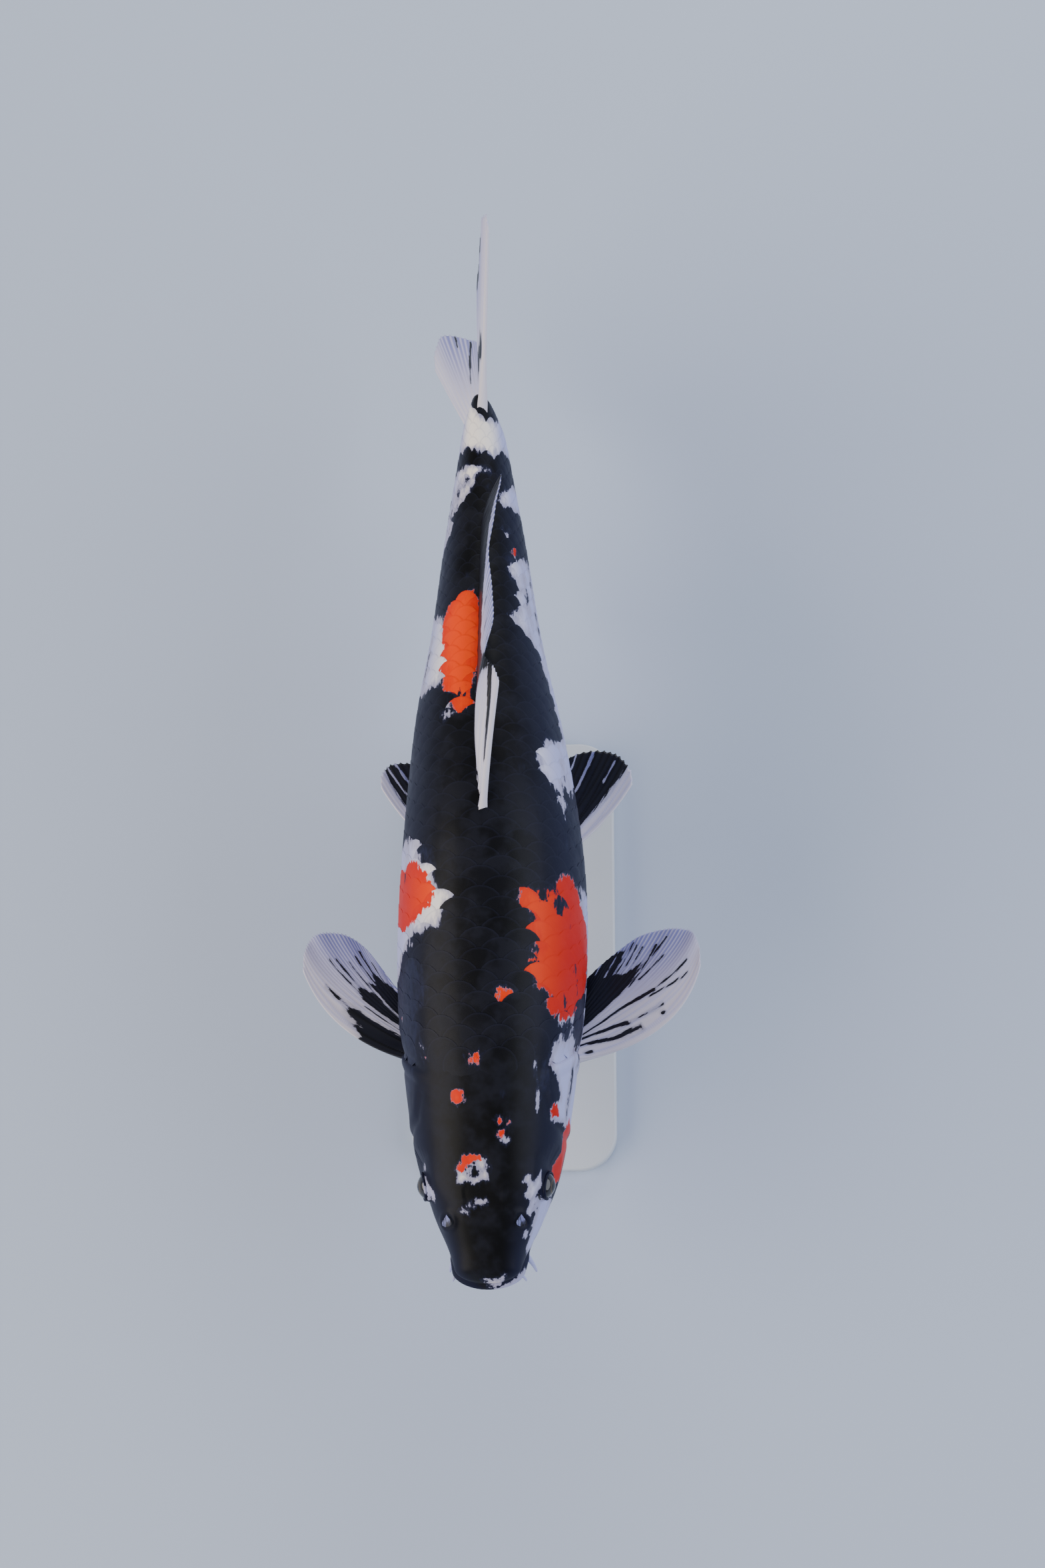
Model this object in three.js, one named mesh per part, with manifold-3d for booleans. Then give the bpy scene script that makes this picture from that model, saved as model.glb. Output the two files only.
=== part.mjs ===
// A koi carp at life size, held by two rods over a flat base.
//
// Units are millimetres and +Z is up. Places on the fish are given as
// along (distance from the tip of the snout, which heads towards -Y),
// across (towards the fish's own left side, +X) and up (from the body axis).
// The last lines move the whole model so that its origin is the middle of
// the underside of its box.

import * as THREE from 'three';
import { mergeVertices } from 'three/addons/utils/BufferGeometryUtils.js';
import Module from 'manifold-3d';

// ---------------------------------------------------------------- dimensions

const STANDARD_LENGTH = 500; // snout to the end of the scaled body
const BODY_END = 518; // the fleshy root of the tail fin ends here
const HALF_WIDTH = 53; // widest half of the body
const BACK_HEIGHT = 69.5; // highest point of the back over the axis
const BELLY_DEPTH = 72; // deepest point of the belly under the axis
const SNOUT_ROUNDING = 9; // length over which the snout closes
const TAIL_ROUNDING = 6; // length over which the tail stem closes
const GAP = 0.3; // clearance between neighbouring pieces
const WELD = 0.03; // corners left by a cut closer than this are one corner

const EYE_RADIUS = 9; // the part that shows is about 14 mm across
const EYE_ALONG = 53;
const EYE_UP = 6;
const EYE_REACH = 37; // outermost point of the eye from the body's middle plane

const TRUNK_SPLIT = 240; // front and rear trunk meet at the first dorsal ray
const STEM_SPLIT = 384; // the tail stem starts at the anal fin

const AXIS_HEIGHT = 142; // body axis over the floor
const BASE_LENGTH = 270;
const BASE_WIDTH = 124;
const BASE_THICKNESS = 10;
const BASE_CORNER = 22;
const BASE_BEVEL = 1.6;
const BASE_ALONG = 215; // the base is centred under the fish's weight
const ROD_RADIUS = 4;
const ROD_COLLAR_RADIUS = 9;
const ROD_COLLAR_HEIGHT = 5;
const ROD_DEPTH = 11; // how far a rod goes up into the belly
const ROD_PLACES = { stand_rod_front: 150, stand_rod_rear: 296 };

const RINGS = 42; // cross-sections along the body
const AROUND = 28; // points on each cross-section
const FIN_COLUMNS = 10; // steps across a fin
const FIN_ROWS = 6; // steps from a fin's root to its edge

// ----------------------------------------------------------------- materials

function finish(name, color, roughness, metalness = 0) {
  return new THREE.MeshStandardMaterial({ name, color, roughness, metalness });
}

const BLACK_SKIN = finish('black_skin', 0x17171f, 0.38);
const PALE_SKIN = finish('pale_skin', 0xe9e2da, 0.4);
const FIN_SKIN = finish('fin_membrane', 0xc9cee4, 0.42);
const EYE_GLOSS = finish('eye', 0x0b0b10, 0.12);
const BASE_PAINT = finish('stand_paint', 0xe8e8e4, 0.55);
const ROD_STEEL = finish('stand_steel', 0xb8babd, 0.35, 1);

// -------------------------------------------------------------------- curves

// A smooth curve through [place, value] pairs, level past both ends.
function law(pairs) {
  const slope = pairs.map((pair, i) => {
    const before = pairs[Math.max(i - 1, 0)];
    const after = pairs[Math.min(i + 1, pairs.length - 1)];
    return (after[1] - before[1]) / (after[0] - before[0]);
  });
  return (place) => {
    if (place <= pairs[0][0]) return pairs[0][1];
    const next = pairs.findIndex((pair) => pair[0] >= place);
    if (next < 0) return pairs[pairs.length - 1][1];
    const [x0, y0] = pairs[next - 1];
    const [x1, y1] = pairs[next];
    const span = x1 - x0;
    const t = (place - x0) / span;
    const near = (1 + 2 * t) * (1 - t) ** 2 * y0 + t * (1 - t) ** 2 * span * slope[next - 1];
    const far = t * t * (3 - 2 * t) * y1 + t * t * (t - 1) * span * slope[next];
    return near + far;
  };
}

// Body sizes as shares of the driving dimensions, at shares of the standard length.
const BODY_STATIONS = [
  // along, width, back, belly, widest level (mm over the axis)
  [0.0, 0.33, -0.03, 0.3, -13],
  [0.035, 0.405, 0.12, 0.4, -14],
  [0.07, 0.55, 0.285, 0.515, -14],
  [0.12, 0.73, 0.45, 0.635, -14],
  [0.2, 0.868, 0.655, 0.79, -12],
  [0.3, 0.97, 0.85, 0.93, -9],
  [0.39, 1.0, 0.955, 1.0, -7],
  [0.49, 0.955, 1.0, 0.985, -5],
  [0.62, 0.812, 0.865, 0.86, -4],
  [0.74, 0.605, 0.675, 0.675, -2],
  [0.86, 0.45, 0.495, 0.49, 0],
  [0.95, 0.315, 0.44, 0.425, 0],
  [1.0, 0.235, 0.465, 0.455, 0],
  [1.02, 0.165, 0.475, 0.465, 0],
  [1.04, 0.075, 0.48, 0.47, 0],
];

function stationLaw(column, scale) {
  return law(BODY_STATIONS.map((row) => [row[0] * STANDARD_LENGTH, row[column] * scale]));
}

const halfWidth = stationLaw(1, HALF_WIDTH);
const backHeight = stationLaw(2, BACK_HEIGHT);
const bellyDepth = stationLaw(3, BELLY_DEPTH);
const widestLevel = stationLaw(4, 1);

// The body's middle plane swings a little to its left, then to its right.
const sway = law([[0, 2.2], [120, 2.8], [235, 4], [340, 0], [430, -2], [510, -3.4]]);

// Sections are squarer on the head than on the trunk.
const squareness = law([[0, 2.5], [60, 2.45], [130, 2.25], [250, 2.1], [510, 2.0]]);

// 1 along the body, falling to 0 in a quarter ellipse at the snout and the tail.
function endRounding(along) {
  const front = Math.max(0, 1 - along / SNOUT_ROUNDING);
  const rear = Math.max(0, 1 - (BODY_END - along) / TAIL_ROUNDING);
  return Math.sqrt(Math.max(0, 1 - front ** 2)) * Math.sqrt(Math.max(0, 1 - rear ** 2));
}

// A point of the skin; turn runs from 0 on the left flank over the back.
// The extra thickness grows the body evenly for clearance cuts.
function skinPoint(along, turn, extra = 0) {
  const round = endRounding(along);
  const level = widestLevel(along);
  const power = 2 / squareness(along);
  const rise = (backHeight(along) - level) * round + extra;
  const drop = (bellyDepth(along) + level) * round + extra;
  const reach = halfWidth(along) * round + extra;
  const cos = Math.cos(turn);
  const sin = Math.sin(turn);
  const across = reach * Math.sign(cos) * Math.abs(cos) ** power;
  const up = (sin > 0 ? rise : drop) * Math.sign(sin) * Math.abs(sin) ** power;
  return new THREE.Vector3(sway(along) + across, along, level + up);
}

// -------------------------------------------------------------- mesh helpers

// A closed mesh from a list of rings, each ended by a fan to its middle.
function loft(rings) {
  const count = rings[0].length;
  const points = rings.flat();
  const faces = [];
  for (let i = 0; i < rings.length - 1; i += 1) {
    for (let j = 0; j < count; j += 1) {
      const a = i * count + j;
      const b = i * count + ((j + 1) % count);
      faces.push(a, a + count, b, b, a + count, b + count);
    }
  }
  const middle = (ring) => ring.reduce((sum, p) => sum.add(p), new THREE.Vector3()).divideScalar(count);
  const first = points.push(middle(rings[0])) - 1;
  const last = points.push(middle(rings[rings.length - 1])) - 1;
  const lastRing = (rings.length - 1) * count;
  for (let j = 0; j < count; j += 1) {
    const k = (j + 1) % count;
    faces.push(first, j, k);
    faces.push(last, lastRing + k, lastRing + j);
  }
  return new THREE.BufferGeometry().setFromPoints(points).setIndex(faces);
}

const wasm = await Module();
wasm.setup();

function solidOf(geometry) {
  const bare = geometry.clone();
  bare.deleteAttribute('normal');
  bare.deleteAttribute('uv');
  const merged = mergeVertices(bare, 1e-4);
  const vertProperties = new Float32Array(merged.attributes.position.array);
  const triVerts = new Uint32Array(merged.index.array);
  return new wasm.Manifold(new wasm.Mesh({ numProp: 3, vertProperties, triVerts }));
}

// Corners closer than WELD are made one, so that no cut leaves a sliver behind.
function geometryOf(solid) {
  const mesh = solid.getMesh();
  const cut = new THREE.BufferGeometry();
  cut.setAttribute('position', new THREE.BufferAttribute(mesh.vertProperties, 3));
  cut.setIndex(new THREE.BufferAttribute(mesh.triVerts, 1));
  const welded = mergeVertices(cut, WELD);
  const faces = [];
  for (let i = 0; i < welded.index.count; i += 3) {
    const [a, b, c] = welded.index.array.slice(i, i + 3);
    if (a !== b && b !== c && c !== a) faces.push(a, b, c);
  }
  welded.setIndex(faces);
  welded.computeVertexNormals();
  return welded;
}

// A prism across the fish from an outline of [along, up] points.
function sidePrism(outline, fromAcross, toAcross) {
  const shape = new THREE.Shape(outline.map(([along, up]) => new THREE.Vector2(along, up)));
  const geometry = new THREE.ExtrudeGeometry(shape, { depth: toAcross - fromAcross, bevelEnabled: false });
  const turn = new THREE.Matrix4().makeBasis(
    new THREE.Vector3(0, 1, 0),
    new THREE.Vector3(0, 0, 1),
    new THREE.Vector3(1, 0, 0),
  );
  geometry.applyMatrix4(turn);
  geometry.translate(fromAcross, 0, 0);
  return solidOf(geometry);
}

// The part of space between two distances from the snout.
function slab(from, to) {
  const reach = 2 * HALF_WIDTH;
  return sidePrism([[from, -reach], [to, -reach], [to, reach], [from, reach]], -reach, reach);
}

function ball(radius, centre) {
  const geometry = new THREE.SphereGeometry(radius, 18, 12);
  geometry.translate(centre.x, centre.y, centre.z);
  return geometry;
}

// ---------------------------------------------------------------------- body

function bodyGeometry(extra = 0) {
  const ease = 0.72; // sections crowd together towards both ends
  const rings = [];
  for (let i = 0; i <= RINGS; i += 1) {
    const t = 0.002 + (0.996 * i) / RINGS;
    const along = BODY_END * (t - (ease * Math.sin(2 * Math.PI * t)) / (2 * Math.PI));
    const ring = [];
    for (let j = 0; j < AROUND; j += 1) {
      ring.push(skinPoint(along, (2 * Math.PI * (j + 0.5)) / AROUND, extra));
    }
    rings.push(ring);
  }
  return loft(rings);
}

const body = solidOf(bodyGeometry());
const bodyWithClearance = solidOf(bodyGeometry(GAP));

// The rear edge of the head: a bow that the gill covers end in.
const GILL_EDGE = new THREE.SplineCurve([
  new THREE.Vector2(99, 90),
  new THREE.Vector2(103, 48),
  new THREE.Vector2(115, 24),
  new THREE.Vector2(126, -6),
  new THREE.Vector2(119, -34),
  new THREE.Vector2(98, -56),
  new THREE.Vector2(84, -90),
]);

function headOutline(shift) {
  const edge = GILL_EDGE.getPoints(18).map((p) => [p.x + shift, p.y]);
  return [[-20, -90], [-20, 90], ...edge].reverse();
}

const reach = 2 * HALF_WIDTH;
const headWhole = body.intersect(sidePrism(headOutline(0), -reach, reach));
const behindHead = body.subtract(sidePrism(headOutline(GAP), -reach, reach));

// The lower jaw lies under the line of the mouth and hinges behind its corner.
const MOUTH_LINE = [[-5, -14.5], [8, -15.5], [18, -20]];
const JAW_REAR = [[25, -28], [29, -60]];

function jawPrism(shrink) {
  const top = MOUTH_LINE.map(([along, up]) => [along, up - shrink]);
  const rear = JAW_REAR.map(([along, up]) => [along - shrink, up]);
  return sidePrism([[-5, -60], ...top, ...rear].reverse(), -reach, reach);
}

// A gill cover is the outer wall of the head between the cheek and the gill edge.
const COVER_FRONT = [[97, 27], [84, 20], [79, 2], [79, -22], [84, -42], [96, -52]];
const COVER_INNER = 30; // its flat inner wall from the middle plane

function coverPrism(side, shrink) {
  const front = COVER_FRONT.map(([along, up]) => [along + shrink, up * (1 - shrink / 30)]);
  const outline = [[140, 27 - shrink], ...front, [140, -52 + shrink]];
  const middle = sway(105);
  const inner = middle + side * (COVER_INNER + shrink);
  const outer = middle + side * 90;
  return sidePrism(outline, Math.min(inner, outer), Math.max(inner, outer));
}

const SIDES = { left: 1, right: -1 };

function eyeCentre(side) {
  return new THREE.Vector3(sway(EYE_ALONG) + side * (EYE_REACH - EYE_RADIUS), EYE_ALONG, EYE_UP);
}

function headSolid() {
  let head = headWhole.subtract(jawPrism(0));
  for (const side of Object.values(SIDES)) {
    head = head.subtract(coverPrism(side, 0));
    head = head.subtract(solidOf(ball(EYE_RADIUS + GAP, eyeCentre(side))));
  }
  return head;
}

function rodTop(along) {
  return -bellyDepth(along) + ROD_DEPTH;
}

function rodSocket(along) {
  const length = 60;
  const geometry = new THREE.CylinderGeometry(ROD_RADIUS + GAP, ROD_RADIUS + GAP, length, 20);
  geometry.rotateX(Math.PI / 2);
  geometry.translate(sway(along), along, rodTop(along) + GAP - length / 2);
  return solidOf(geometry);
}

// ---------------------------------------------------------------------- fins

// Guide rays run from the front of a fin to its rear. Each list holds
// [along, across, up] points: where rays leave the body, where they bow,
// and where they end.
const FINS = {
  dorsal_fin: {
    roots: [[238, 4, 62], [262, 3.4, 62], [300, 1.4, 56], [350, -0.2, 45], [395, -1.3, 35], [426, -2, 29]],
    bends: [[266, 2, 94], [285, -1, 90], [325, 1, 80], [366, 1, 62], [408, 1, 52], [440, 2, 44]],
    tips: [[310, 18, 107], [322, 10, 99], [354, 11.5, 83], [388, 8, 67], [424, 9, 57], [455, 13, 50]],
    rootThickness: 4.5,
    edgeThickness: 0.9,
  },
  anal_fin: {
    roots: [[386, -1, -38], [398, -1.3, -36], [410, -1.6, -33], [420, -1.8, -31]],
    bends: [[404, -1, -72], [412, -1.4, -68], [424, -2, -58], [434, -2.4, -47]],
    tips: [[436, -1, -89], [447, -2, -83], [453, -3, -69], [456, -4, -55]],
    rootThickness: 4,
    edgeThickness: 0.9,
  },
  tail_fin_upper: {
    roots: [[496, -2, 26], [502, -3, 21], [505, -3.4, 12], [507, -3.4, 1]],
    bends: [[534, 0.4, 54], [542, -1, 42], [541, -3, 22], [536, -4.4, 2]],
    tips: [[600, 5, 88], [600, 3.4, 74], [583, -0.5, 42], [566, -5, 1.2]],
    rootThickness: 6,
    edgeThickness: 1,
  },
  tail_fin_lower: {
    roots: [[507, -3.4, -1], [505, -3.4, -12], [502, -3, -21], [496, -2, -26]],
    bends: [[536, -5, -2], [541, -9, -20], [544, -18, -40], [538, -23, -51]],
    tips: [[566, -6, -1.2], [584, -15, -28], [606, -38, -60], [598, -48, -80]],
    rootThickness: 6,
    edgeThickness: 1,
  },
  pectoral_fin_left: {
    roots: [[127, 40, -40], [131, 38, -43], [136, 36, -46], [141, 33, -49]],
    bends: [[134, 112, -35], [150, 92, -33], [160, 66, -41], [160, 44, -47]],
    tips: [[186, 121, -26], [201, 113, -27], [199, 86, -33], [176, 52, -42]],
    rootThickness: 6,
    edgeThickness: 0.9,
  },
  pectoral_fin_right: {
    roots: [[127, -35, -40], [131, -33, -43], [136, -31, -45.5], [141, -28.5, -48]],
    bends: [[138, -96, -36], [154, -80, -34], [162, -61, -40], [160, -44, -46]],
    tips: [[186, -110, -26], [202, -101, -27], [199, -78, -33], [171, -55, -41]],
    rootThickness: 6,
    edgeThickness: 0.9,
  },
  pelvic_fin_left: {
    roots: [[245, 22, -61], [249, 20, -62], [253, 17, -63], [257, 14, -63]],
    bends: [[265, 62, -61], [276, 50, -62], [284, 34, -65], [284, 22, -67]],
    tips: [[299, 80, -57], [313, 67, -58], [312, 44, -62], [296, 24, -67]],
    rootThickness: 5,
    edgeThickness: 0.9,
  },
  pelvic_fin_right: {
    roots: [[245, -14, -61], [249, -12, -62], [253, -9, -63], [257, -6, -63]],
    bends: [[266, -52, -62], [276, -44, -64], [284, -30, -67], [284, -16, -68]],
    tips: [[304, -70, -58], [313, -61, -60], [311, -40, -64], [296, -18, -68]],
    rootThickness: 5,
    edgeThickness: 0.9,
  },
};

function guideCurve(places) {
  return new THREE.CatmullRomCurve3(places.map(([along, across, up]) => new THREE.Vector3(across, along, up)));
}

// A bowed sheet of rays, thick at its root and thin at its edge, closed all round.
function finGeometry({ roots, bends, tips, rootThickness, edgeThickness }) {
  const curves = [guideCurve(roots), guideCurve(bends), guideCurve(tips)];
  const sheetPoint = (u, v) => {
    const [root, bend, tip] = curves.map((curve) => curve.getPoint(u));
    return new THREE.QuadraticBezierCurve3(root, bend, tip).getPoint(v);
  };
  const normalAt = (u, v) => {
    const step = 0.01;
    const across = sheetPoint(Math.min(u + step, 1), v).sub(sheetPoint(Math.max(u - step, 0), v));
    const outward = sheetPoint(u, Math.min(v + step, 1)).sub(sheetPoint(u, Math.max(v - step, 0)));
    return across.cross(outward).normalize();
  };
  const rings = [];
  for (let i = 0; i <= FIN_COLUMNS; i += 1) {
    const u = i / FIN_COLUMNS;
    const near = [];
    const far = [];
    for (let j = 0; j <= FIN_ROWS; j += 1) {
      const v = j / FIN_ROWS;
      const half = (rootThickness + (edgeThickness - rootThickness) * v ** 0.5) / 2;
      const offset = normalAt(u, v).multiplyScalar(half);
      near.push(sheetPoint(u, v).add(offset));
      far.unshift(sheetPoint(u, v).sub(offset));
    }
    rings.push([...near, ...far]);
  }
  return loft(rings);
}

// ------------------------------------------------------------------- barbels

const BARBELS = {
  barbel_front: { from: [9, 15, -9], to: [4.5, 20, -18], radius: 1.2 },
  barbel_rear: { from: [19, 18.5, -22], to: [11, 24, -36], radius: 1.6 },
};

// A soft feeler: a cone with a rounded tip that bows outwards.
function barbelGeometry({ from, to, radius }, side) {
  const place = ([along, across, up]) => new THREE.Vector3(sway(along) + side * across, along, up);
  const start = place(from);
  const end = place(to);
  const bow = start.clone().lerp(end, 0.45).add(new THREE.Vector3(side * 1.6, 0, 0.6));
  const spine = new THREE.QuadraticBezierCurve3(start, bow, end);
  const rings = [];
  for (let i = 0; i <= 7; i += 1) {
    const t = i / 7;
    const thin = radius * (1 - 0.62 * t) * (i === 7 ? 0.6 : 1);
    const forward = spine.getTangent(t);
    const one = new THREE.Vector3(0, 0, 1).cross(forward).normalize();
    const two = forward.clone().cross(one);
    const ring = [];
    for (let j = 0; j < 8; j += 1) {
      const turn = (2 * Math.PI * j) / 8;
      const offset = one.clone().multiplyScalar(Math.cos(turn) * thin);
      offset.addScaledVector(two, Math.sin(turn) * thin);
      ring.push(spine.getPoint(t).add(offset));
    }
    rings.push(ring);
  }
  return loft(rings.reverse());
}

// --------------------------------------------------------------------- stand

function baseGeometry() {
  const x = BASE_WIDTH / 2 - BASE_BEVEL;
  const y = BASE_LENGTH / 2 - BASE_BEVEL;
  const shape = new THREE.Shape();
  shape.moveTo(-x + BASE_CORNER, -y);
  shape.lineTo(x - BASE_CORNER, -y);
  shape.absarc(x - BASE_CORNER, -y + BASE_CORNER, BASE_CORNER, -Math.PI / 2, 0);
  shape.absarc(x - BASE_CORNER, y - BASE_CORNER, BASE_CORNER, 0, Math.PI / 2);
  shape.absarc(-x + BASE_CORNER, y - BASE_CORNER, BASE_CORNER, Math.PI / 2, Math.PI);
  shape.absarc(-x + BASE_CORNER, -y + BASE_CORNER, BASE_CORNER, Math.PI, 1.5 * Math.PI);
  const geometry = new THREE.ExtrudeGeometry(shape, {
    depth: BASE_THICKNESS - 2 * BASE_BEVEL,
    bevelThickness: BASE_BEVEL,
    bevelSize: BASE_BEVEL,
    bevelSegments: 1,
    curveSegments: 5,
  });
  geometry.translate(sway(BASE_ALONG), BASE_ALONG, BASE_BEVEL - AXIS_HEIGHT);
  return geometry;
}

function rodSolid(along) {
  const foot = BASE_THICKNESS + GAP - AXIS_HEIGHT;
  const length = rodTop(along) - foot;
  const rod = new THREE.CylinderGeometry(ROD_RADIUS, ROD_RADIUS, length, 20);
  rod.rotateX(Math.PI / 2);
  rod.translate(sway(along), along, foot + length / 2);
  const collar = new THREE.CylinderGeometry(
    ROD_COLLAR_RADIUS - 2,
    ROD_COLLAR_RADIUS,
    ROD_COLLAR_HEIGHT,
    20,
  );
  collar.rotateX(Math.PI / 2);
  collar.translate(sway(along), along, foot + ROD_COLLAR_HEIGHT / 2);
  return solidOf(rod).add(solidOf(collar));
}

// ------------------------------------------------------------------ assembly

const model = new THREE.Group();

function addPiece(name, geometry, material) {
  const mesh = new THREE.Mesh(geometry, material);
  mesh.name = name;
  model.add(mesh);
}

addPiece('head', geometryOf(headSolid()), BLACK_SKIN);
addPiece('lower_jaw', geometryOf(headWhole.intersect(jawPrism(GAP))), BLACK_SKIN);

const [rodFront, rodRear] = Object.values(ROD_PLACES);
const trunkFront = behindHead.intersect(slab(60, TRUNK_SPLIT)).subtract(rodSocket(rodFront));
const trunkRear = body.intersect(slab(TRUNK_SPLIT + GAP, STEM_SPLIT)).subtract(rodSocket(rodRear));
addPiece('trunk_front', geometryOf(trunkFront), BLACK_SKIN);
addPiece('trunk_rear', geometryOf(trunkRear), BLACK_SKIN);
addPiece('tail_stem', geometryOf(body.intersect(slab(STEM_SPLIT + GAP, BODY_END + 5))), PALE_SKIN);

for (const [sideName, side] of Object.entries(SIDES)) {
  const cover = headWhole.intersect(coverPrism(side, GAP));
  addPiece(`gill_cover_${sideName}`, geometryOf(cover), PALE_SKIN);
  addPiece(`eye_${sideName}`, ball(EYE_RADIUS, eyeCentre(side)), EYE_GLOSS);
  for (const [barbelName, sizes] of Object.entries(BARBELS)) {
    const barbel = solidOf(barbelGeometry(sizes, side)).subtract(bodyWithClearance);
    addPiece(`${barbelName}_${sideName}`, geometryOf(barbel), PALE_SKIN);
  }
}

for (const [finName, sizes] of Object.entries(FINS)) {
  const fin = solidOf(finGeometry(sizes)).subtract(bodyWithClearance);
  addPiece(finName, geometryOf(fin), FIN_SKIN);
}

addPiece('stand_base', baseGeometry(), BASE_PAINT);
for (const [rodName, along] of Object.entries(ROD_PLACES)) {
  addPiece(rodName, geometryOf(rodSolid(along)), ROD_STEEL);
}

model.updateMatrixWorld(true);
const box = new THREE.Box3().setFromObject(model, true);
model.position.set(-(box.min.x + box.max.x) / 2, -(box.min.y + box.max.y) / 2, -box.min.z);

export default model;
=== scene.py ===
# %% [markdown]
# # A black, white and orange koi carp
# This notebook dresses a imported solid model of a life-size koi: a smooth skin with a
# sculpted head, a coat of overlapping scales, rayed fins, glossy eyes and feelers, on a
# plain display stand. Everything is in metres, in the frame of the solid model.

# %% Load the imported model
import math

import bpy
import numpy as np
from mathutils import Matrix, Vector


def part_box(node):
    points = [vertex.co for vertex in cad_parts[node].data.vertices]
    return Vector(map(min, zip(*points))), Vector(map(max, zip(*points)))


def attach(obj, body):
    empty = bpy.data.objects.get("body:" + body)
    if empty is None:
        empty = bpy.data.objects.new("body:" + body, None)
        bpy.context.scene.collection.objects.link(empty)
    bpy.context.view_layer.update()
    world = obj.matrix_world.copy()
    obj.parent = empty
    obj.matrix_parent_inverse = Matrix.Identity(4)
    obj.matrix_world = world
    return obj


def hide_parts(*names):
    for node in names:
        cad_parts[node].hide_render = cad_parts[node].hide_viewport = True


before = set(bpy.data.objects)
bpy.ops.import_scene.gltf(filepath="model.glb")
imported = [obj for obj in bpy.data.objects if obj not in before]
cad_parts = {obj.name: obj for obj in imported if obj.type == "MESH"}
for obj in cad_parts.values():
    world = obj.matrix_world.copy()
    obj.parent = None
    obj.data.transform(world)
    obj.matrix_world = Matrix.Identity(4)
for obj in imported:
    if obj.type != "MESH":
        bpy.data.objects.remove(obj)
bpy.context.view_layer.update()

random = np.random.default_rng(7)

# %% [markdown]
# ## Sizes and curves
# Places on the fish are given as *along* (millimetres from the tip of the snout),
# *across* (towards the fish's own left) and *up* (from the body's axis). A fish has few
# straight lines, so every size is a smooth curve through a handful of stations, and the
# same curve can be asked for one place or for a hundred thousand at once.

# %% A smooth curve through stations
def law(places, values):
    """A smooth curve through values at places, level past both ends."""
    x = np.asarray(places, float)
    y = np.asarray(values, float)
    last = len(x) - 1
    after = np.minimum(np.arange(last + 1) + 1, last)
    before = np.maximum(np.arange(last + 1) - 1, 0)
    slope = ((y[after] - y[before]).T / (x[after] - x[before])).T

    def value_at(place):
        q = np.clip(np.asarray(place, float), x[0], x[-1])
        i = np.clip(np.searchsorted(x, q), 1, last)
        span = x[i] - x[i - 1]
        t = (q - x[i - 1]) / span
        if y.ndim > 1:
            t, span = t[..., None], span[..., None]
        held = (1 + 2 * t) * (1 - t) ** 2 * y[i - 1] + t * t * (3 - 2 * t) * y[i]
        return held + t * (1 - t) ** 2 * span * slope[i - 1] + t * t * (t - 1) * span * slope[i]

    return value_at


print("a curve from 0 to 10, half way:", float(law([0, 1], [0, 10])(0.5)))

# %% Soft steps and humps
def ease(low, high, value):
    """0 below low, 1 above high, and smooth between them."""
    t = np.clip((np.asarray(value, float) - low) / (high - low), 0, 1)
    return t * t * (3 - 2 * t)


def hump(distance, width):
    """1 at no distance, falling away over the width."""
    return np.exp(-(np.asarray(distance, float) / width) ** 2)


print("a soft step at a quarter:", float(ease(0, 1, 0.25)))

# %% The body's own sizes, in millimetres
STANDARD_LENGTH = 500
BODY_END = 518
HALF_WIDTH = 53
BACK_HEIGHT = 69.5
BELLY_DEPTH = 72
COAT_DEPTH = 0.6  # the skin lies this far inside the solid flesh, and scales fill the rest

BODY_STATIONS = np.array([
    # share of the length, width, back, belly, widest level (mm over the axis)
    [0.0, 0.33, -0.03, 0.3, -13],
    [0.035, 0.405, 0.12, 0.4, -14],
    [0.07, 0.55, 0.285, 0.515, -14],
    [0.12, 0.73, 0.45, 0.635, -14],
    [0.2, 0.868, 0.655, 0.79, -12],
    [0.3, 0.97, 0.85, 0.93, -9],
    [0.39, 1.0, 0.955, 1.0, -7],
    [0.49, 0.955, 1.0, 0.985, -5],
    [0.62, 0.812, 0.865, 0.86, -4],
    [0.74, 0.605, 0.675, 0.675, -2],
    [0.86, 0.45, 0.495, 0.49, 0],
    [0.95, 0.315, 0.44, 0.425, 0],
    [1.0, 0.235, 0.465, 0.455, 0],
    [1.02, 0.165, 0.475, 0.465, 0],
    [1.04, 0.075, 0.48, 0.47, 0],
])
stations, widths, backs, bellies, levels = BODY_STATIONS.T
stations = stations * STANDARD_LENGTH
half_width = law(stations, widths * HALF_WIDTH)
back_height = law(stations, backs * BACK_HEIGHT)
belly_depth = law(stations, bellies * BELLY_DEPTH)
widest_level = law(stations, levels)
sway = law([0, 120, 235, 340, 430, 510], [2.2, 2.8, 4, 0, -2, -3.4])
squareness = law([0, 60, 130, 250, 510], [2.5, 2.45, 2.25, 2.1, 2.0])
print("deepest section:", BACK_HEIGHT + BELLY_DEPTH, "mm")

# %% Where the fish's own frame lies in the model
BASE_ALONG = 215  # the stand's base is centred under this place
AXIS_HEIGHT = 142
base_low, base_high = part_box("stand_base")
base_middle = (base_low + base_high) / 2
origin = np.array([
    base_middle.x - float(sway(BASE_ALONG)) / 1000,
    base_middle.y - BASE_ALONG / 1000,
    AXIS_HEIGHT / 1000,
])


def to_model(points):
    """Millimetres on the fish (across, along, up) to metres in the model."""
    return origin + np.asarray(points, float) / 1000


print("tip of the snout at", to_model([float(sway(0)), 0, -13]).round(4))

# %% [markdown]
# ## The camera
# It looks down on the fish from over its right shoulder, close enough that the nose
# reads larger than the tail. The camera comes first, so that each piece can be judged
# from the same seat as soon as it is there.

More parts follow.
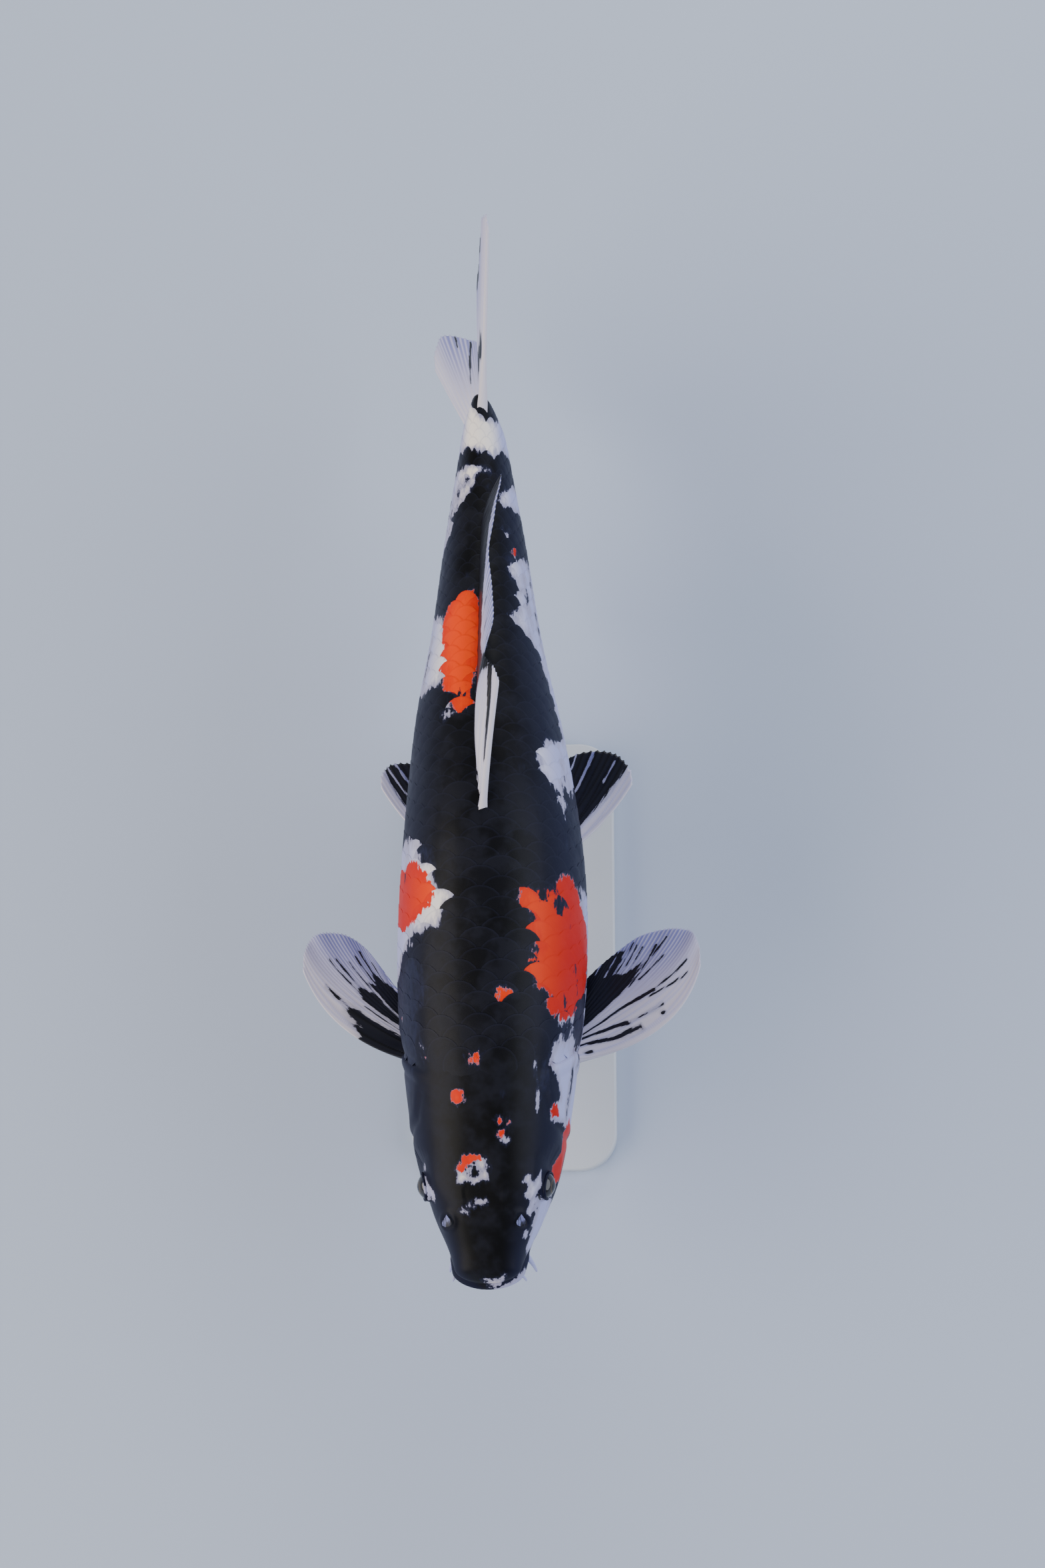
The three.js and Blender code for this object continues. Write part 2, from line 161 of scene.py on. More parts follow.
# %% Camera
LOOK_AT = (20.6, 280.8, 0)  # mm on the fish
SEAT = Vector((0.10826, -0.38389, 1.17842))  # m from there to the camera
CAMERA_RIGHT = Vector((0.9959078, 0.0036596, -0.090301))
CAMERA_UP = Vector((0.0243977, 0.9511948, 0.3076251))
camera_data = bpy.data.cameras.new("camera")
camera_data.lens = 50  # mm
camera_data.sensor_width = 36  # mm, along the upright long side
camera = bpy.data.objects.new("camera", camera_data)
bpy.context.scene.collection.objects.link(camera)
bpy.context.scene.camera = camera
view_from = Vector(to_model(LOOK_AT)) + SEAT
camera_turn = Matrix((CAMERA_RIGHT, CAMERA_UP, CAMERA_RIGHT.cross(CAMERA_UP))).transposed()
camera.matrix_world = Matrix.Translation(view_from) @ camera_turn.to_4x4()
print("camera at", [round(value, 3) for value in view_from])

# %% [markdown]
# ## Points on the body
# A cross-section of a fish is a soft rectangle on the head and nearly an ellipse on the
# tail. A superellipse gives both. `turn` runs from 0 on the left flank, over the back at
# a quarter turn, to the right flank. It bunches up at the flanks, so places that have to
# be evenly spaced, such as scales, are given instead by their *share* of the girth.

# %% Cross-sections
SNOUT_ROUNDING = 9
TAIL_ROUNDING = 6


def section(along):
    """Half width, rise over and drop under the widest level, and the superellipse's power."""
    front = np.clip(1 - along / SNOUT_ROUNDING, 0, None)
    rear = np.clip(1 - (BODY_END - along) / TAIL_ROUNDING, 0, None)
    closing = np.sqrt(np.clip(1 - front**2, 0, None)) * np.sqrt(np.clip(1 - rear**2, 0, None))
    level = widest_level(along)
    rise = (back_height(along) - level) * closing
    drop = (belly_depth(along) + level) * closing
    return half_width(along) * closing, rise, drop, 2 / squareness(along)


def skin_at(along, turn):
    """Points of the bare solid body, in millimetres (across, along, up)."""
    along, turn = np.broadcast_arrays(np.asarray(along, float), np.asarray(turn, float))
    reach, rise, drop, power = section(along)
    cos, sin = np.cos(turn), np.sin(turn)
    across = reach * np.sign(cos) * np.abs(cos) ** power
    up = np.where(sin > 0, rise, drop) * np.sign(sin) * np.abs(sin) ** power
    return np.stack([sway(along) + across, along, widest_level(along) + up], -1)


print("top of the back:", skin_at(245, math.pi / 2).round(1), "mm")

# %% Normals, and the way back from a point
STEP_ALONG, STEP_TURN = 0.3, 0.004
NEAREST_END = 0.35  # mm, so that no step leaves the body


def skin_normal(along, turn):
    """Outward unit normals of the bare body."""
    along = np.clip(along, NEAREST_END, BODY_END - NEAREST_END)
    lengthwise = skin_at(along + STEP_ALONG, turn) - skin_at(along - STEP_ALONG, turn)
    around = skin_at(along, turn + STEP_TURN) - skin_at(along, turn - STEP_TURN)
    normal = np.cross(lengthwise, around)
    return normal / np.linalg.norm(normal, axis=-1, keepdims=True)


def turn_of(points):
    """The turn at which points near the body lie."""
    across, along, up = np.asarray(points, float).T
    reach, rise, drop, power = section(np.clip(along, 1, BODY_END - 1))
    side = (across - sway(along)) / reach
    height = up - widest_level(along)
    height = height / np.where(height > 0, rise, drop)
    cos = np.sign(side) * np.abs(side) ** (1 / power)
    sin = np.sign(height) * np.abs(height) ** (1 / power)
    return np.arctan2(sin, cos)


print("normal of the left flank:", skin_normal(200, 0.0).round(2))

# %% Even shares of the girth
# 0 on the back, about 0.25 on the left flank, 0.5 on the belly, and minus on the right
SHARES = 360
table_along = np.linspace(0.5, BODY_END - 0.5, 260)
table_turn = np.linspace(math.pi / 2, -1.5 * math.pi, 1441)
table_points = skin_at(table_along[:, None], table_turn[None, :])
table_steps = np.linalg.norm(np.diff(table_points, axis=1), axis=-1)
table_arc = np.concatenate([np.zeros((len(table_along), 1)), np.cumsum(table_steps, 1)], 1)
girth = law(table_along, table_arc[:, -1])
share_grid = np.linspace(0, 1, SHARES + 1)
turn_grid = np.array([np.interp(share_grid, arc / arc[-1], table_turn) for arc in table_arc])


def turn_at(along, share):
    """The turn at a share of the girth."""
    along, share = np.broadcast_arrays(np.asarray(along, float), np.asarray(share, float))
    row = (along - table_along[0]) / (table_along[1] - table_along[0])
    row = np.clip(row, 0, len(table_along) - 1.001)
    column = np.minimum(share % 1 * SHARES, SHARES - 0.001)
    i, j = row.astype(int), column.astype(int)
    a, b = row - i, column - j
    upper = turn_grid[i, j] * (1 - b) + turn_grid[i, j + 1] * b
    lower = turn_grid[i + 1, j] * (1 - b) + turn_grid[i + 1, j + 1] * b
    return upper * (1 - a) + lower * a


print("girth at the middle:", round(float(girth(200))), "mm")

# %% [markdown]
# ## The pattern of the skin
# The fish is black over the back and head, with white that breaks through from the belly
# and orange-red laid over the white. Each patch is an outline in body places: along, and
# degrees round the section from the middle of the back, towards the fish's left. What is
# stored on the skin, the scales and the feelers alike is how deep each point lies inside
# a patch, in millimetres. The material cuts that depth at zero, after adding a little
# noise, so the edge stays sharp and ragged however coarse the mesh is.

# %% White patches behind the middle
PATCHES = {"white": [
    # across the tail stem, with a black notch under the tail fin
    [(514, -96), (514, -46), (507, -24), (501, -4), (497.5, 8), (497, 24), (499, 40), (501, 56),
     (506, 74), (514, 90), (514, 98),
     (484, 98), (481, 53), (474, 25), (477, -2), (481, -46), (480, -66), (490, -92)],
    # right and left sides of the tail stem
    [(465, 19), (468, -14), (469, -50), (466, -78), (448, -104), (404, -104), (412, -80),
     (425, -58), (422, -47), (440, -45), (446, -31), (453, -13), (460, -4)],
    [(450, 30), (461, 66), (466, 96), (448, 104), (443, 54), (444, 31)],
    # left flank
    [(403, 35), (412, 64), (416, 92), (392, 112), (352, 108), (330, 100), (302, 96),
     (299, 80), (316, 75), (330, 72), (342, 68), (353, 64), (356, 58), (362, 54), (359, 49),
     (364, 41), (367, 32), (372, 44), (378, 50), (381, 41), (388, 49), (395, 47), (396, 39)],
    [(280, 38), (293, 50), (303, 84), (309, 106), (284, 108), (276, 86), (262, 72),
     (272, 62), (258, 55), (268, 47), (275, 41)],
    # right flank
    [(377, -72), (372, -45), (352, -29), (333, -30), (327, -32), (323, -57), (331, -70),
     (320, -92), (330, -112), (368, -108)],
]}
print(len(PATCHES["white"]), "white patches behind the middle")

# %% White patches of the front
PATCHES["white"] += [
    # round the red patch on the right side
    [(239, -68), (237, -52), (227, -40), (220, -38), (218, -28), (205, -26), (200, -16),
     (194, -21), (183, -23), (184, -31), (180, -37), (184, -45), (175, -46), (176, -55),
     (166, -63), (160, -82), (150, -104), (200, -118), (238, -104)],
    # outside the orange patch on the left side
    [(214, 72), (214, 108), (160, 118), (128, 96), (146, 92), (176, 94), (200, 78)],
    # left gill cover
    [(116, 48), (124, 52), (131, 73), (130, 90), (112, 106), (92, 104), (84, 90), (85, 66),
     (84, 54), (91, 52), (97, 62), (107, 56), (111, 49)],
    # left cheek, and over the left eye
    [(44, 44), (37, 45.5), (34, 56), (30, 64), (20, 70), (17, 84), (28, 102), (44, 98),
     (50, 80), (50, 72), (46, 54)],
    [(60, 50), (54, 52), (47.5, 51.5), (43, 47), (44, 40), (46, 35.5), (50.5, 37.5), (52.7, 31),
     (55, 32), (55.7, 37), (53, 42.4), (56, 45.5)],
    # the round spot on the head, the lip, and over the right eye
    [(57.5, -17), (57, -11), (59, -7), (61, -4), (63, -1.5), (63.5, 1), (61, 2.5), (56, 3),
     (52.5, 2), (51.5, -0.5), (50, -3), (51.5, -6), (51, -10), (51.5, -16.5)],
    [(0.9, -4), (3.5, -1), (3.5, 17), (6.1, 28), (2.7, 37), (0.5, 50), (0.3, 20)],
    [(58, -55), (47, -45), (43, -54), (51, -65)],
]
print(len(PATCHES["white"]), "white patches")

# %% Orange patches, and grey ones, where black is so thin that it shows as slate
PATCHES["orange"] = [
    [(202, 23), (204, 35), (206, 46), (211, 49), (216, 57), (211, 67), (203, 75),
     (194, 85), (178, 91), (162, 88), (151, 76), (142, 68), (137, 60), (136, 53),
     (143, 50), (147, 44), (148, 39), (153, 28), (160, 27), (165, 26), (170, 35),
     (178, 30), (190, 26), (194, 22)],
    [(378, -27), (384, -14), (384, -2), (366, 3), (340, 3), (324, -2), (302, -5),
     (306, -16), (323, -28), (340, -33), (353, -37), (367, -41)],
    [(222, -63), (221, -46), (215, -38), (209, -28), (198, -26), (195, -31), (192, -36),
     (188, -44), (185, -56), (190, -66), (196, -82), (206, -96), (222, -92)],
    [(145, 8), (148, 9), (148, 17), (144, 18), (141, 14), (143, 11), (142, 8)],
    [(58, -16.5), (61, -13.5), (64, -10.5), (65.5, -5.5), (64, -1), (62, -1.5), (60.5, -6),
     (57.5, -9), (56.5, -12.5)],
    [(98, -15), (97, -9), (92, -8), (90, -12), (91, -15), (94, -17)],
    [(93, 54), (93, 60), (88, 62), (86, 56), (89, 52)],
    [(90, 84), (86, 92), (76, 94), (70, 90), (60, 91), (50, 85), (49, 80), (58, 78), (66, 80),
     (76, 77), (84, 78)],
]
PATCHES["grey"] = [
    [(164, -57), (172, -46), (168, -38), (151, -31), (136, -39), (120, -44), (104, -54),
     (98, -66), (106, -80), (130, -96), (152, -84)],
    [(136, 51), (149, 73), (152, 91), (132, 96), (123, 50), (113, 40), (97, 38), (98, 50),
     (112, 47), (124, 52)],
    [(240, -60), (228, -34), (218, -24), (210, -27), (226, -50)],
    [(410, 34), (404, 66), (392, 38), (398, 33)],
]
print(len(PATCHES["orange"]), "orange patches and", len(PATCHES["grey"]), "grey ones")

# %% Single spots: along, degrees, and how far they reach along and around in millimetres
SPOTS = {
    "white": [
        (237, -44, 3, 1.8), (303, -24, 4.4, 2.2), (72, 14.3, 1.9, 1.6), (113, 34, 4, 1.1),
        (95, 39, 6, 1.3), (135, 54, 3, 4), (134, 68, 3, 3), (122, -40, 4, 1.2), (66, -66, 3, 2.4),
        (141, -62, 5, 2.4), (185, -52, 6, 4), (258, 60, 8, 2), (203, 30, 2.2, 4.5), (27, 55, 2, 2),
        (424, 37, 2.6, 2.8), (41.5, -2.5, 1.3, 2.2), (39.5, -8, 1, 2), (37, -15, 1.3, 2.4),
        (66, -57, 2.4, 1.6),
    ],
    "grey": [
        (424, 37, 4, 3.4), (270, 27, 2.6, 2.4), (232, 58, 5, 3), (206, 3, 1.4, 1.4),
        (201, 9, 1.2, 1.2), (190, -4, 2, 3), (462, 20, 3, 4), (140, -28, 4, 1.6), (95, 12, 2, 1.6),
        (430, -20, 3, 2.4), (393, -12, 3, 2), (250, -30, 2, 3), (452, 14, 3, 2),
    ],
    "orange": [
        (113, -2, 4, 4.6), (81.5, 10, 1.8, 1.3), (81, 15.8, 1.5, 0.8), (76, 10.8, 1.8, 1.1),
        (414, 48, 3, 2.4), (141, -62, 4, 2), (119, -37, 2, 0.9), (143, 46, 4, 4),
    ],
}
BLACK_SPOTS = [
    (200, 36, 6, 3.4), (198, 49, 6, 3), (172, 33, 2.6, 2.6), (162, 31, 2.6, 3),
    (146, 57, 3, 2), (157, 70, 4, 1.4), (213, -44, 4.5, 2.2), (217, -57, 3.5, 2.6),
    (236, -56, 7, 1.8), (56.6, -4.2, 2.6, 2.2), (35, 58, 5.5, 2.2),
    (414.5, 49, 1.3, 1.2), (106, 78, 8, 1.6), (316, -14, 3, 2), (312, -2, 3, 2.2),
    (276, 66, 7, 1.6), (270, 74, 5, 1.4), (176, -50, 5, 1.6), (168, 66, 3, 1.4),
    (203, 57, 3, 1.2), (190, 60, 2.2, 1.1), (372, 78, 9, 1.4), (128, 88, 8, 2.6),
    (404, 78, 6, 1.4), (94, 76, 5, 1.2), (386, 60, 6, 1.1), (345, -60, 8, 1.2),
    (452, -42, 4, 1.6), (438, -54, 6, 1.2), (458, -24, 2, 3), (447, -70, 8, 1.6),
]
print({key: len(spots) for key, spots in SPOTS.items()}, "and", len(BLACK_SPOTS), "black spots")

# %% How deep a place lies in an outline
def distance_to_line(x, y, corners):
    """How far places are from a line through its corners."""
    nearest = np.full(len(x), 1e9)
    for (x0, y0), (x1, y1) in zip(corners, corners[1:]):
        dx, dy = x1 - x0, y1 - y0
        t = np.clip(((x - x0) * dx + (y - y0) * dy) / (dx * dx + dy * dy), 0, 1)
        nearest = np.minimum(nearest, np.hypot(x - x0 - t * dx, y - y0 - t * dy))
    return nearest


def depth_in_outline(x, y, corners):
    """How far inside an outline places are, below zero outside it, in the outline's unit."""
    corners = [*corners, corners[0]]
    inside = np.zeros(len(x), bool)
    for (x0, y0), (x1, y1) in zip(corners, corners[1:]):
        if y1 != y0:
            inside ^= ((y0 > y) != (y1 > y)) & (x < x0 + (y - y0) * (x1 - x0) / (y1 - y0))
    return np.where(inside, 1, -1) * distance_to_line(x, y, corners)


square = [(0, 0), (2, 0), (2, 2), (0, 2)]
print("inside and outside a square:", depth_in_outline(np.array([1, 3]), np.array([1, 1]), square))

# %% How deep a place lies in a patch or a spot of the skin
def mm_per_degree(along):
    """Millimetres round the body for each degree from the back."""
    return girth(along) / 360


def depth_in_patch(along, degrees, outline):
    corners = np.array(outline, float)
    scale = float(mm_per_degree(corners[:, 0].mean()))
    return depth_in_outline(along, degrees * scale, corners * [1, scale])


def depth_in_spot(along, degrees, spot):
    centre, middle, reach_along, reach_around = spot
    around = (degrees - middle) * mm_per_degree(centre)
    radius = np.hypot((along - centre) / reach_along, around / reach_around)
    return (1 - radius) * min(reach_along, reach_around)


print("one degree on the trunk is", round(float(mm_per_degree(200)), 2), "mm")

# %% The whole pattern at once
BELLY_EDGE = law(
    [0, 12, 40, 62, 100, 135, 165, 205, 240, 275, 310, 350, 385, 420, 455, 490, 515],
    [72, 84, 106, 112, 118, 108, 122, 112, 128, 112, 120, 106, 118, 104, 116, 104, 110],
)
DEEPEST = 12  # mm, past which depth makes no difference


def pattern(along, turn):
    """How deep places lie in white and in orange in millimetres, how grey, and the side."""
    along = np.asarray(along, float)
    degrees = (90 - np.degrees(np.asarray(turn, float)) + 180) % 360 - 180
    # the edge of the white belly wanders in two waves, about 80 and 33 mm long
    wander = 5 * np.sin(along / 13 + degrees / 40) + 3 * np.sin(along / 5.3 - degrees / 25)
    belly = (np.abs(degrees) - BELLY_EDGE(along)) * mm_per_degree(along) + wander * 0.6
    depth = {"white": belly}
    for key, outlines in PATCHES.items():
        depths = [depth_in_patch(along, degrees, outline) for outline in outlines]
        depths += [depth_in_spot(along, degrees, spot) for spot in SPOTS[key]]
        depth[key] = np.max([depth.get(key, depths[0]), *depths], axis=0)
    white = np.maximum(depth["white"], depth["orange"] + 0.1)  # orange lies on white
    for spot in BLACK_SPOTS:
        white = np.minimum(white, -depth_in_spot(along, degrees, spot))
    return {
        "white": np.clip(white, -DEEPEST, DEEPEST),
        "orange": np.clip(depth["orange"], -DEEPEST, DEEPEST),
        "grey": ease(-6, 4, depth["grey"]),
        "side": np.abs(degrees) / 180,
    }


def store(piece, **fields):
    """Keeps one number for each vertex under a name that a material can read."""
    for name, values in fields.items():
        attribute = piece.data.attributes.new(name, "FLOAT", "POINT")
        attribute.data.foreach_set("value", np.asarray(values, np.float32))


def store_pattern(piece, points, whiter):
    """Gives a small piece the pattern of the skin beside it, a little whiter or blacker."""
    fields = pattern(points[:, 1], turn_of(points))
    store(piece, **{**fields, "white": fields["white"] + whiter})


on_the_back = pattern(np.array([180.0]), np.array([math.pi / 2]))
print("on the middle of the back:", {key: on_the_back[key].round(1) for key in on_the_back})

# %% [markdown]
# ## Materials
# Wet fish skin is a dull coloured layer under a thin clear slime, so each finish is a
# fairly rough base with a sharp, weak coat over it. The coat's numbers are the same all
# over, and so they are set on the shader itself; only colour, roughness and bumps come
# from nodes. Colours are written as they look on a screen and turned to linear light.

# %% Helpers for materials
def colour(hex_code):
    """An sRGB hex colour as linear light with full alpha."""
    channels = [int(hex_code[i:i + 2], 16) / 255 for i in (1, 3, 5)]
    linear = [c / 12.92 if c <= 0.04045 else ((c + 0.055) / 1.055) ** 2.4 for c in channels]
    return (*linear, 1.0)


def add_node(tree, kind, inputs=(), output=0, **settings):
    """Adds a node with its settings, sets or links its inputs, and returns one output."""
    made = tree.nodes.new("ShaderNode" + kind)
    for name, value in settings.items():
        setattr(made, name, value)
    for name, value in inputs.items() if isinstance(inputs, dict) else enumerate(inputs):
        if isinstance(value, bpy.types.NodeSocket):
            tree.links.new(value, made.inputs[name])
        else:
            made.inputs[name].default_value = value
    return made.outputs[output] if made.outputs else made


print("middle grey in linear light:", round(colour("#808080")[0], 3))

# %% How a material starts and ends
def start_material(name):
    """An empty material and its node tree."""
    material = bpy.data.materials.new(name)
    material.use_nodes = True
    material.node_tree.nodes.clear()
    return material, material.node_tree


def end_material(material, settings, height=None, strength=0.0, distance=0.0001):
    """Ends a material in its shader, with bumps if it has a height."""
    tree = material.node_tree
    if height is not None:
        bump = {"Height": height, "Strength": strength, "Distance": distance}
        settings = {**settings, "Normal": add_node(tree, "Bump", bump)}
    shader = add_node(tree, "BsdfPrincipled", settings)
    add_node(tree, "OutputMaterial", {"Surface": shader})
    print(f"{material.name}: {len(tree.nodes)} nodes")
    return material


print("a black in linear light:", [round(value, 4) for value in colour("#12142a")])

# %% [markdown]
# ### Koi skin
# Three colours lie in a koi's skin: white ground, orange-red *hi* over it and black
# *sumi* over both. The black is never quite flat. It clouds towards slate blue, and it
# has a thin slate edge where it thins out over white. Light is painted in as well: on
# the flanks a painted bluish sheen lies over the black and the white, painted shade turns
# the orange redder, and the grooves of the head and the pits of the side-line pores are
# painted dark as shade. All this could be painted. Here it is a table of masks and a
# table of layers, so that one loop builds the finish of the skin and of the scales.

# %% Colours and masks of the skin
SKIN_COLOURS = {
    # flank black, flank white and flank red are painted light: a bluish sheen on the flanks' black,
    # bluish shade on their white, and shade that darkens the orange to red
    "black": "#08080a", "cloudy black": "#171820", "black with painted blue sheen": "#12142a", "slate": "#1f2239",
    "white": "#f8efe4", "white in painted bluish shade": "#a6a9d2", "thin white": "#9a98b2",
    "red": "#da2600", "orange": "#f44400", "red in painted shade": "#b81a10",
    # pore is a dark dot painted as the shade inside each side-line pore's pit
    "black rim": "#25273a", "white rim": "#8f93ad", "red rim": "#c42206", "pore pit shade": "#1a1a22",
    # black crease and white crease are painted shade, darkening the grooves of the head
    "black crease": "#050506", "white crease": "#6e5a62",
}
# mask: what it reads, where it starts and ends, and what it says there
SKIN_MASKS = {
    "in white": ("white", -0.3, 0.3, 0, 1),
    "in orange": ("orange", -0.3, 0.3, 0, 1),
    "thin black": ("white", -1.6, 0.1, 0, 0.85),
    "thick white": ("white", 0.0, 4.5, 0, 1),
    "glow": ("orange", 0.5, 8.0, 0, 1),
    # painted light: the flanks' painted sheen and shade grow from about 16 to 60 degrees off the
    # back
    "painted flank light": ("side", 0.09, 0.34, 0, 1),
    "cloud": ("clouds", 0.42, 0.66, 0, 1),
    "mottle": ("grey", 0.25, 0.62, 0, 1),
    "rim": ("edge", 0.86, 1.0, 0, 0.26),
    # painted shade: a dark dot in the pit of each side-line pore
    "pore pit shade": ("from_pore", 0.5, 1.2, 0.75, 0),
}
print(len(SKIN_COLOURS), "colours and", len(SKIN_MASKS), "masks")

# %% Layers of the skin
# result, mask, the colour under it and the colour over it
SKIN_LAYERS = [
    ("black", "cloud", "black", "cloudy black"),
    # painted bluish sheen on the black of the flanks
    ("black", "painted flank light", "black", "black with painted blue sheen"),
    ("black", "mottle", "black", "slate"),
    ("black", "thin black", "black", "slate"),
    # painted bluish shade on the white of the flanks
    ("white", "painted flank light", "white", "white in painted bluish shade"),
    # thin white, near the edges and in small spots, lets the dark under it through
    ("white", "thick white", "thin white", "white"),
    # orange glows in the middle of a patch and is redder towards its edge
    ("orange", "glow", "red", "orange"),
    # painted shade: the orange turns redder on the flanks
    ("orange", "painted flank light", "orange", "red in painted shade"),
    ("ground", "in orange", "white", "orange"),
    ("skin", "in white", "black", "ground"),
]
# painted shade in the grooves of the head, on black and on white
CREASE_SHADE_LAYERS = [
    ("in a crease", "in white", "black crease", "white crease"),
    ("skin", "crease", "skin", "in a crease"),
]
# the free edge of each scale is a little darker on white and paler on black
SCALE_LAYERS = [
    ("rim", "in orange", "white rim", "red rim"),
    ("rim", "in white", "black rim", "rim"),
    ("skin", "rim", "skin", "rim"),
    # painted shade in the pit of each side-line pore
    ("skin", "pore pit shade", "skin", "pore pit shade"),
]
print(len(SKIN_LAYERS), "layers, and", len(SCALE_LAYERS), "more on the scales")

# %% What the masks read
RAGGED = 7.0  # mm from the deepest notch of an edge to its longest streak


def skin_sources(tree, fields):
    """The numbers stored on a piece, and noise that makes its edges uneven."""
    source = {key: add_node(tree, "Attribute", (), "Fac", attribute_name=key) for key in fields}
    place = add_node(tree, "TexCoord", (), "Object")
    # streaks are about 2.5 mm across the body and 7 mm along it, and pores half a millimetre
    streak_space = add_node(tree, "Mapping", {"Vector": place, "Scale": (400, 150, 400)})
    for key, space, scale, detail, roughness in (
        ("streaks", streak_space, 1.0, 4.0, 0.62),
        ("clouds", place, 55.0, 3.0, 0.6),
        ("pores", place, 1400.0, 2.0, 0.5),
    ):
        noise = {"Vector": space, "Scale": scale, "Detail": detail, "Roughness": roughness}
        source[key] = add_node(tree, "TexNoise", noise, "Fac")
    uneven = [source["streaks"], RAGGED, -RAGGED / 2]
    uneven = add_node(tree, "Math", uneven, operation="MULTIPLY_ADD")
    for key in ("white", "orange"):
        source[key] = add_node(tree, "Math", [source[key], uneven], operation="ADD")
    clouded = [source["grey"], source["streaks"]]
    source["grey"] = add_node(tree, "Math", clouded, operation="MULTIPLY")
    return source


print("edges wander by", RAGGED / 2, "mm either way")

# %% Growth rings and pores of the scales
RING_WAVES = 12.0  # turns of a wave for each millimetre: rings lie half a millimetre apart
PORE_PLACE = (4.5, 0, 0)  # mm behind the middle of a scale


def add_scale_relief(tree, source):
    """Rings round the middle of each scale, and how far a place is from its pore."""
    local = add_node(tree, "CombineXYZ", [source["local_back"], source["local_round"]])
    from_middle = add_node(tree, "VectorMath", [local], "Value", operation="LENGTH")
    wave = add_node(tree, "Math", [from_middle, RING_WAVES], operation="MULTIPLY")
    wave = add_node(tree, "Math", [wave], operation="SINE")
    rings = [wave, 0.3, source["pores"]]
    source["pores"] = add_node(tree, "Math", rings, operation="MULTIPLY_ADD")
    to_pore = [local, PORE_PLACE]
    source["from_pore"] = add_node(tree, "VectorMath", to_pore, "Value", operation="DISTANCE")


print("rings", round(2 * math.pi / RING_WAVES, 2), "mm apart")

# %% Koi skin
SHARED_FIELDS = ["white", "orange", "grey", "side"]
SCALE_FIELDS = ["tone", "edge", "pored", "local_back", "local_round"]
SLIME = {
    "IOR": 1.4, "Specular IOR Level": 0.14,
    "Coat Weight": 0.1, "Coat Roughness": 0.3, "Coat IOR": 1.38,
}


def koi_skin(name, fields, more_layers):
    """Wet skin under slime: soft broad highlights over a black that is never quite flat."""
    material, tree = start_material(name)
    source = skin_sources(tree, SHARED_FIELDS + fields)
    if "tone" in fields:
        add_scale_relief(tree, source)
    # painted shade in the grooves of the head, on pieces that store it
    mask = {"crease": source.get("crease")}
    for key, (field, *ramp) in SKIN_MASKS.items():
        if field in source:
            reading = [source[field], *ramp]
            mask[key] = add_node(tree, "MapRange", reading, interpolation_type="SMOOTHSTEP")
    if "tone" in fields:
        cloud = [source["tone"], 0.5, mask["cloud"]]
        mask["cloud"] = add_node(tree, "Math", cloud, operation="MULTIPLY_ADD")
        # only the side-line scales get the painted shade of a pore's pit
        mask["pore pit shade"] = add_node(tree, "Math", [mask["pore pit shade"], source["pored"]], operation="MULTIPLY")
    glow = [mask["cloud"], 0.35, mask["glow"]]
    mask["glow"] = add_node(tree, "Math", glow, operation="MULTIPLY_ADD")
    paint = {key: colour(code) for key, code in SKIN_COLOURS.items()}
    for result, key, under, over in SKIN_LAYERS + more_layers:
        mix = {0: mask[key], 6: paint[under], 7: paint[over]}
        paint[result] = add_node(tree, "Mix", mix, 2, data_type="RGBA")
    roughness = add_node(tree, "MapRange", [source["clouds"], 0.3, 0.7, 0.42, 0.56])
    finish = {**SLIME, "Base Color": paint["skin"], "Roughness": roughness}
    return end_material(material, finish, source["pores"], strength=0.3)


# the bare skin carries the painted shade of its grooves
SKIN = koi_skin("wet_koi_skin", ["crease"], CREASE_SHADE_LAYERS)
SCALE_SKIN = koi_skin("wet_koi_scales", SCALE_FIELDS, SCALE_LAYERS)

# %% [markdown]
# ## The skin
# One closed surface runs from the lips to the root of the tail, so that no seam shows.
# It could be sculpted by hand, or lofted through rings. Here it begins as a sphere whose
# poles become the snout and the tail, because a sphere already has rings, segments and
# closed ends. Each of its points is then sent to its place on the body. Rings lie a
# millimetre apart on the head, which has the detail, and two apart on the trunk, which
# the scales cover.

# %% Helpers for pieces
def new_piece(add, **sizes):
    """Adds a primitive with nothing else selected, and puts its place into its mesh."""
    bpy.ops.object.select_all(action="DESELECT")
    add(**sizes)
    bpy.ops.object.transform_apply(location=True, rotation=True, scale=True)
    return bpy.context.active_object


def finish_piece(piece, name, material):
    """Names a finished piece, gives it its material and lets it ride on the body."""
    piece.name = name
    piece.data.name = name
    piece.data.materials.clear()
    piece.data.materials.append(material)
    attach(piece, "root")
    bpy.ops.object.select_all(action="DESELECT")
    print(f"{name}: {len(piece.data.polygons)} faces")


# %% Points of a piece
def read_points(piece):
    points = np.empty(len(piece.data.vertices) * 3)
    piece.data.vertices.foreach_get("co", points)
    return points.reshape(-1, 3)


def write_points(piece, points):
    """Moves a piece's points, given in metres in the model, and shades it smooth."""
    piece.data.vertices.foreach_set("co", np.asarray(points, np.float32).ravel())
    piece.data.update()
    piece.data.shade_smooth()


def new_sphere(segments, rings):
    """A unit sphere: (object, share of the way from pole to pole, angle round the poles)."""
    add_sphere = bpy.ops.mesh.primitive_uv_sphere_add
    sphere = new_piece(add_sphere, segments=segments, ring_count=rings, radius=1)
    points = read_points(sphere)
    down = np.arccos(np.clip(points[:, 2], -1, 1)) / math.pi
    return sphere, down, np.arctan2(points[:, 1], points[:, 0])


print("the fish's own origin is at", origin.round(3), "in the model")

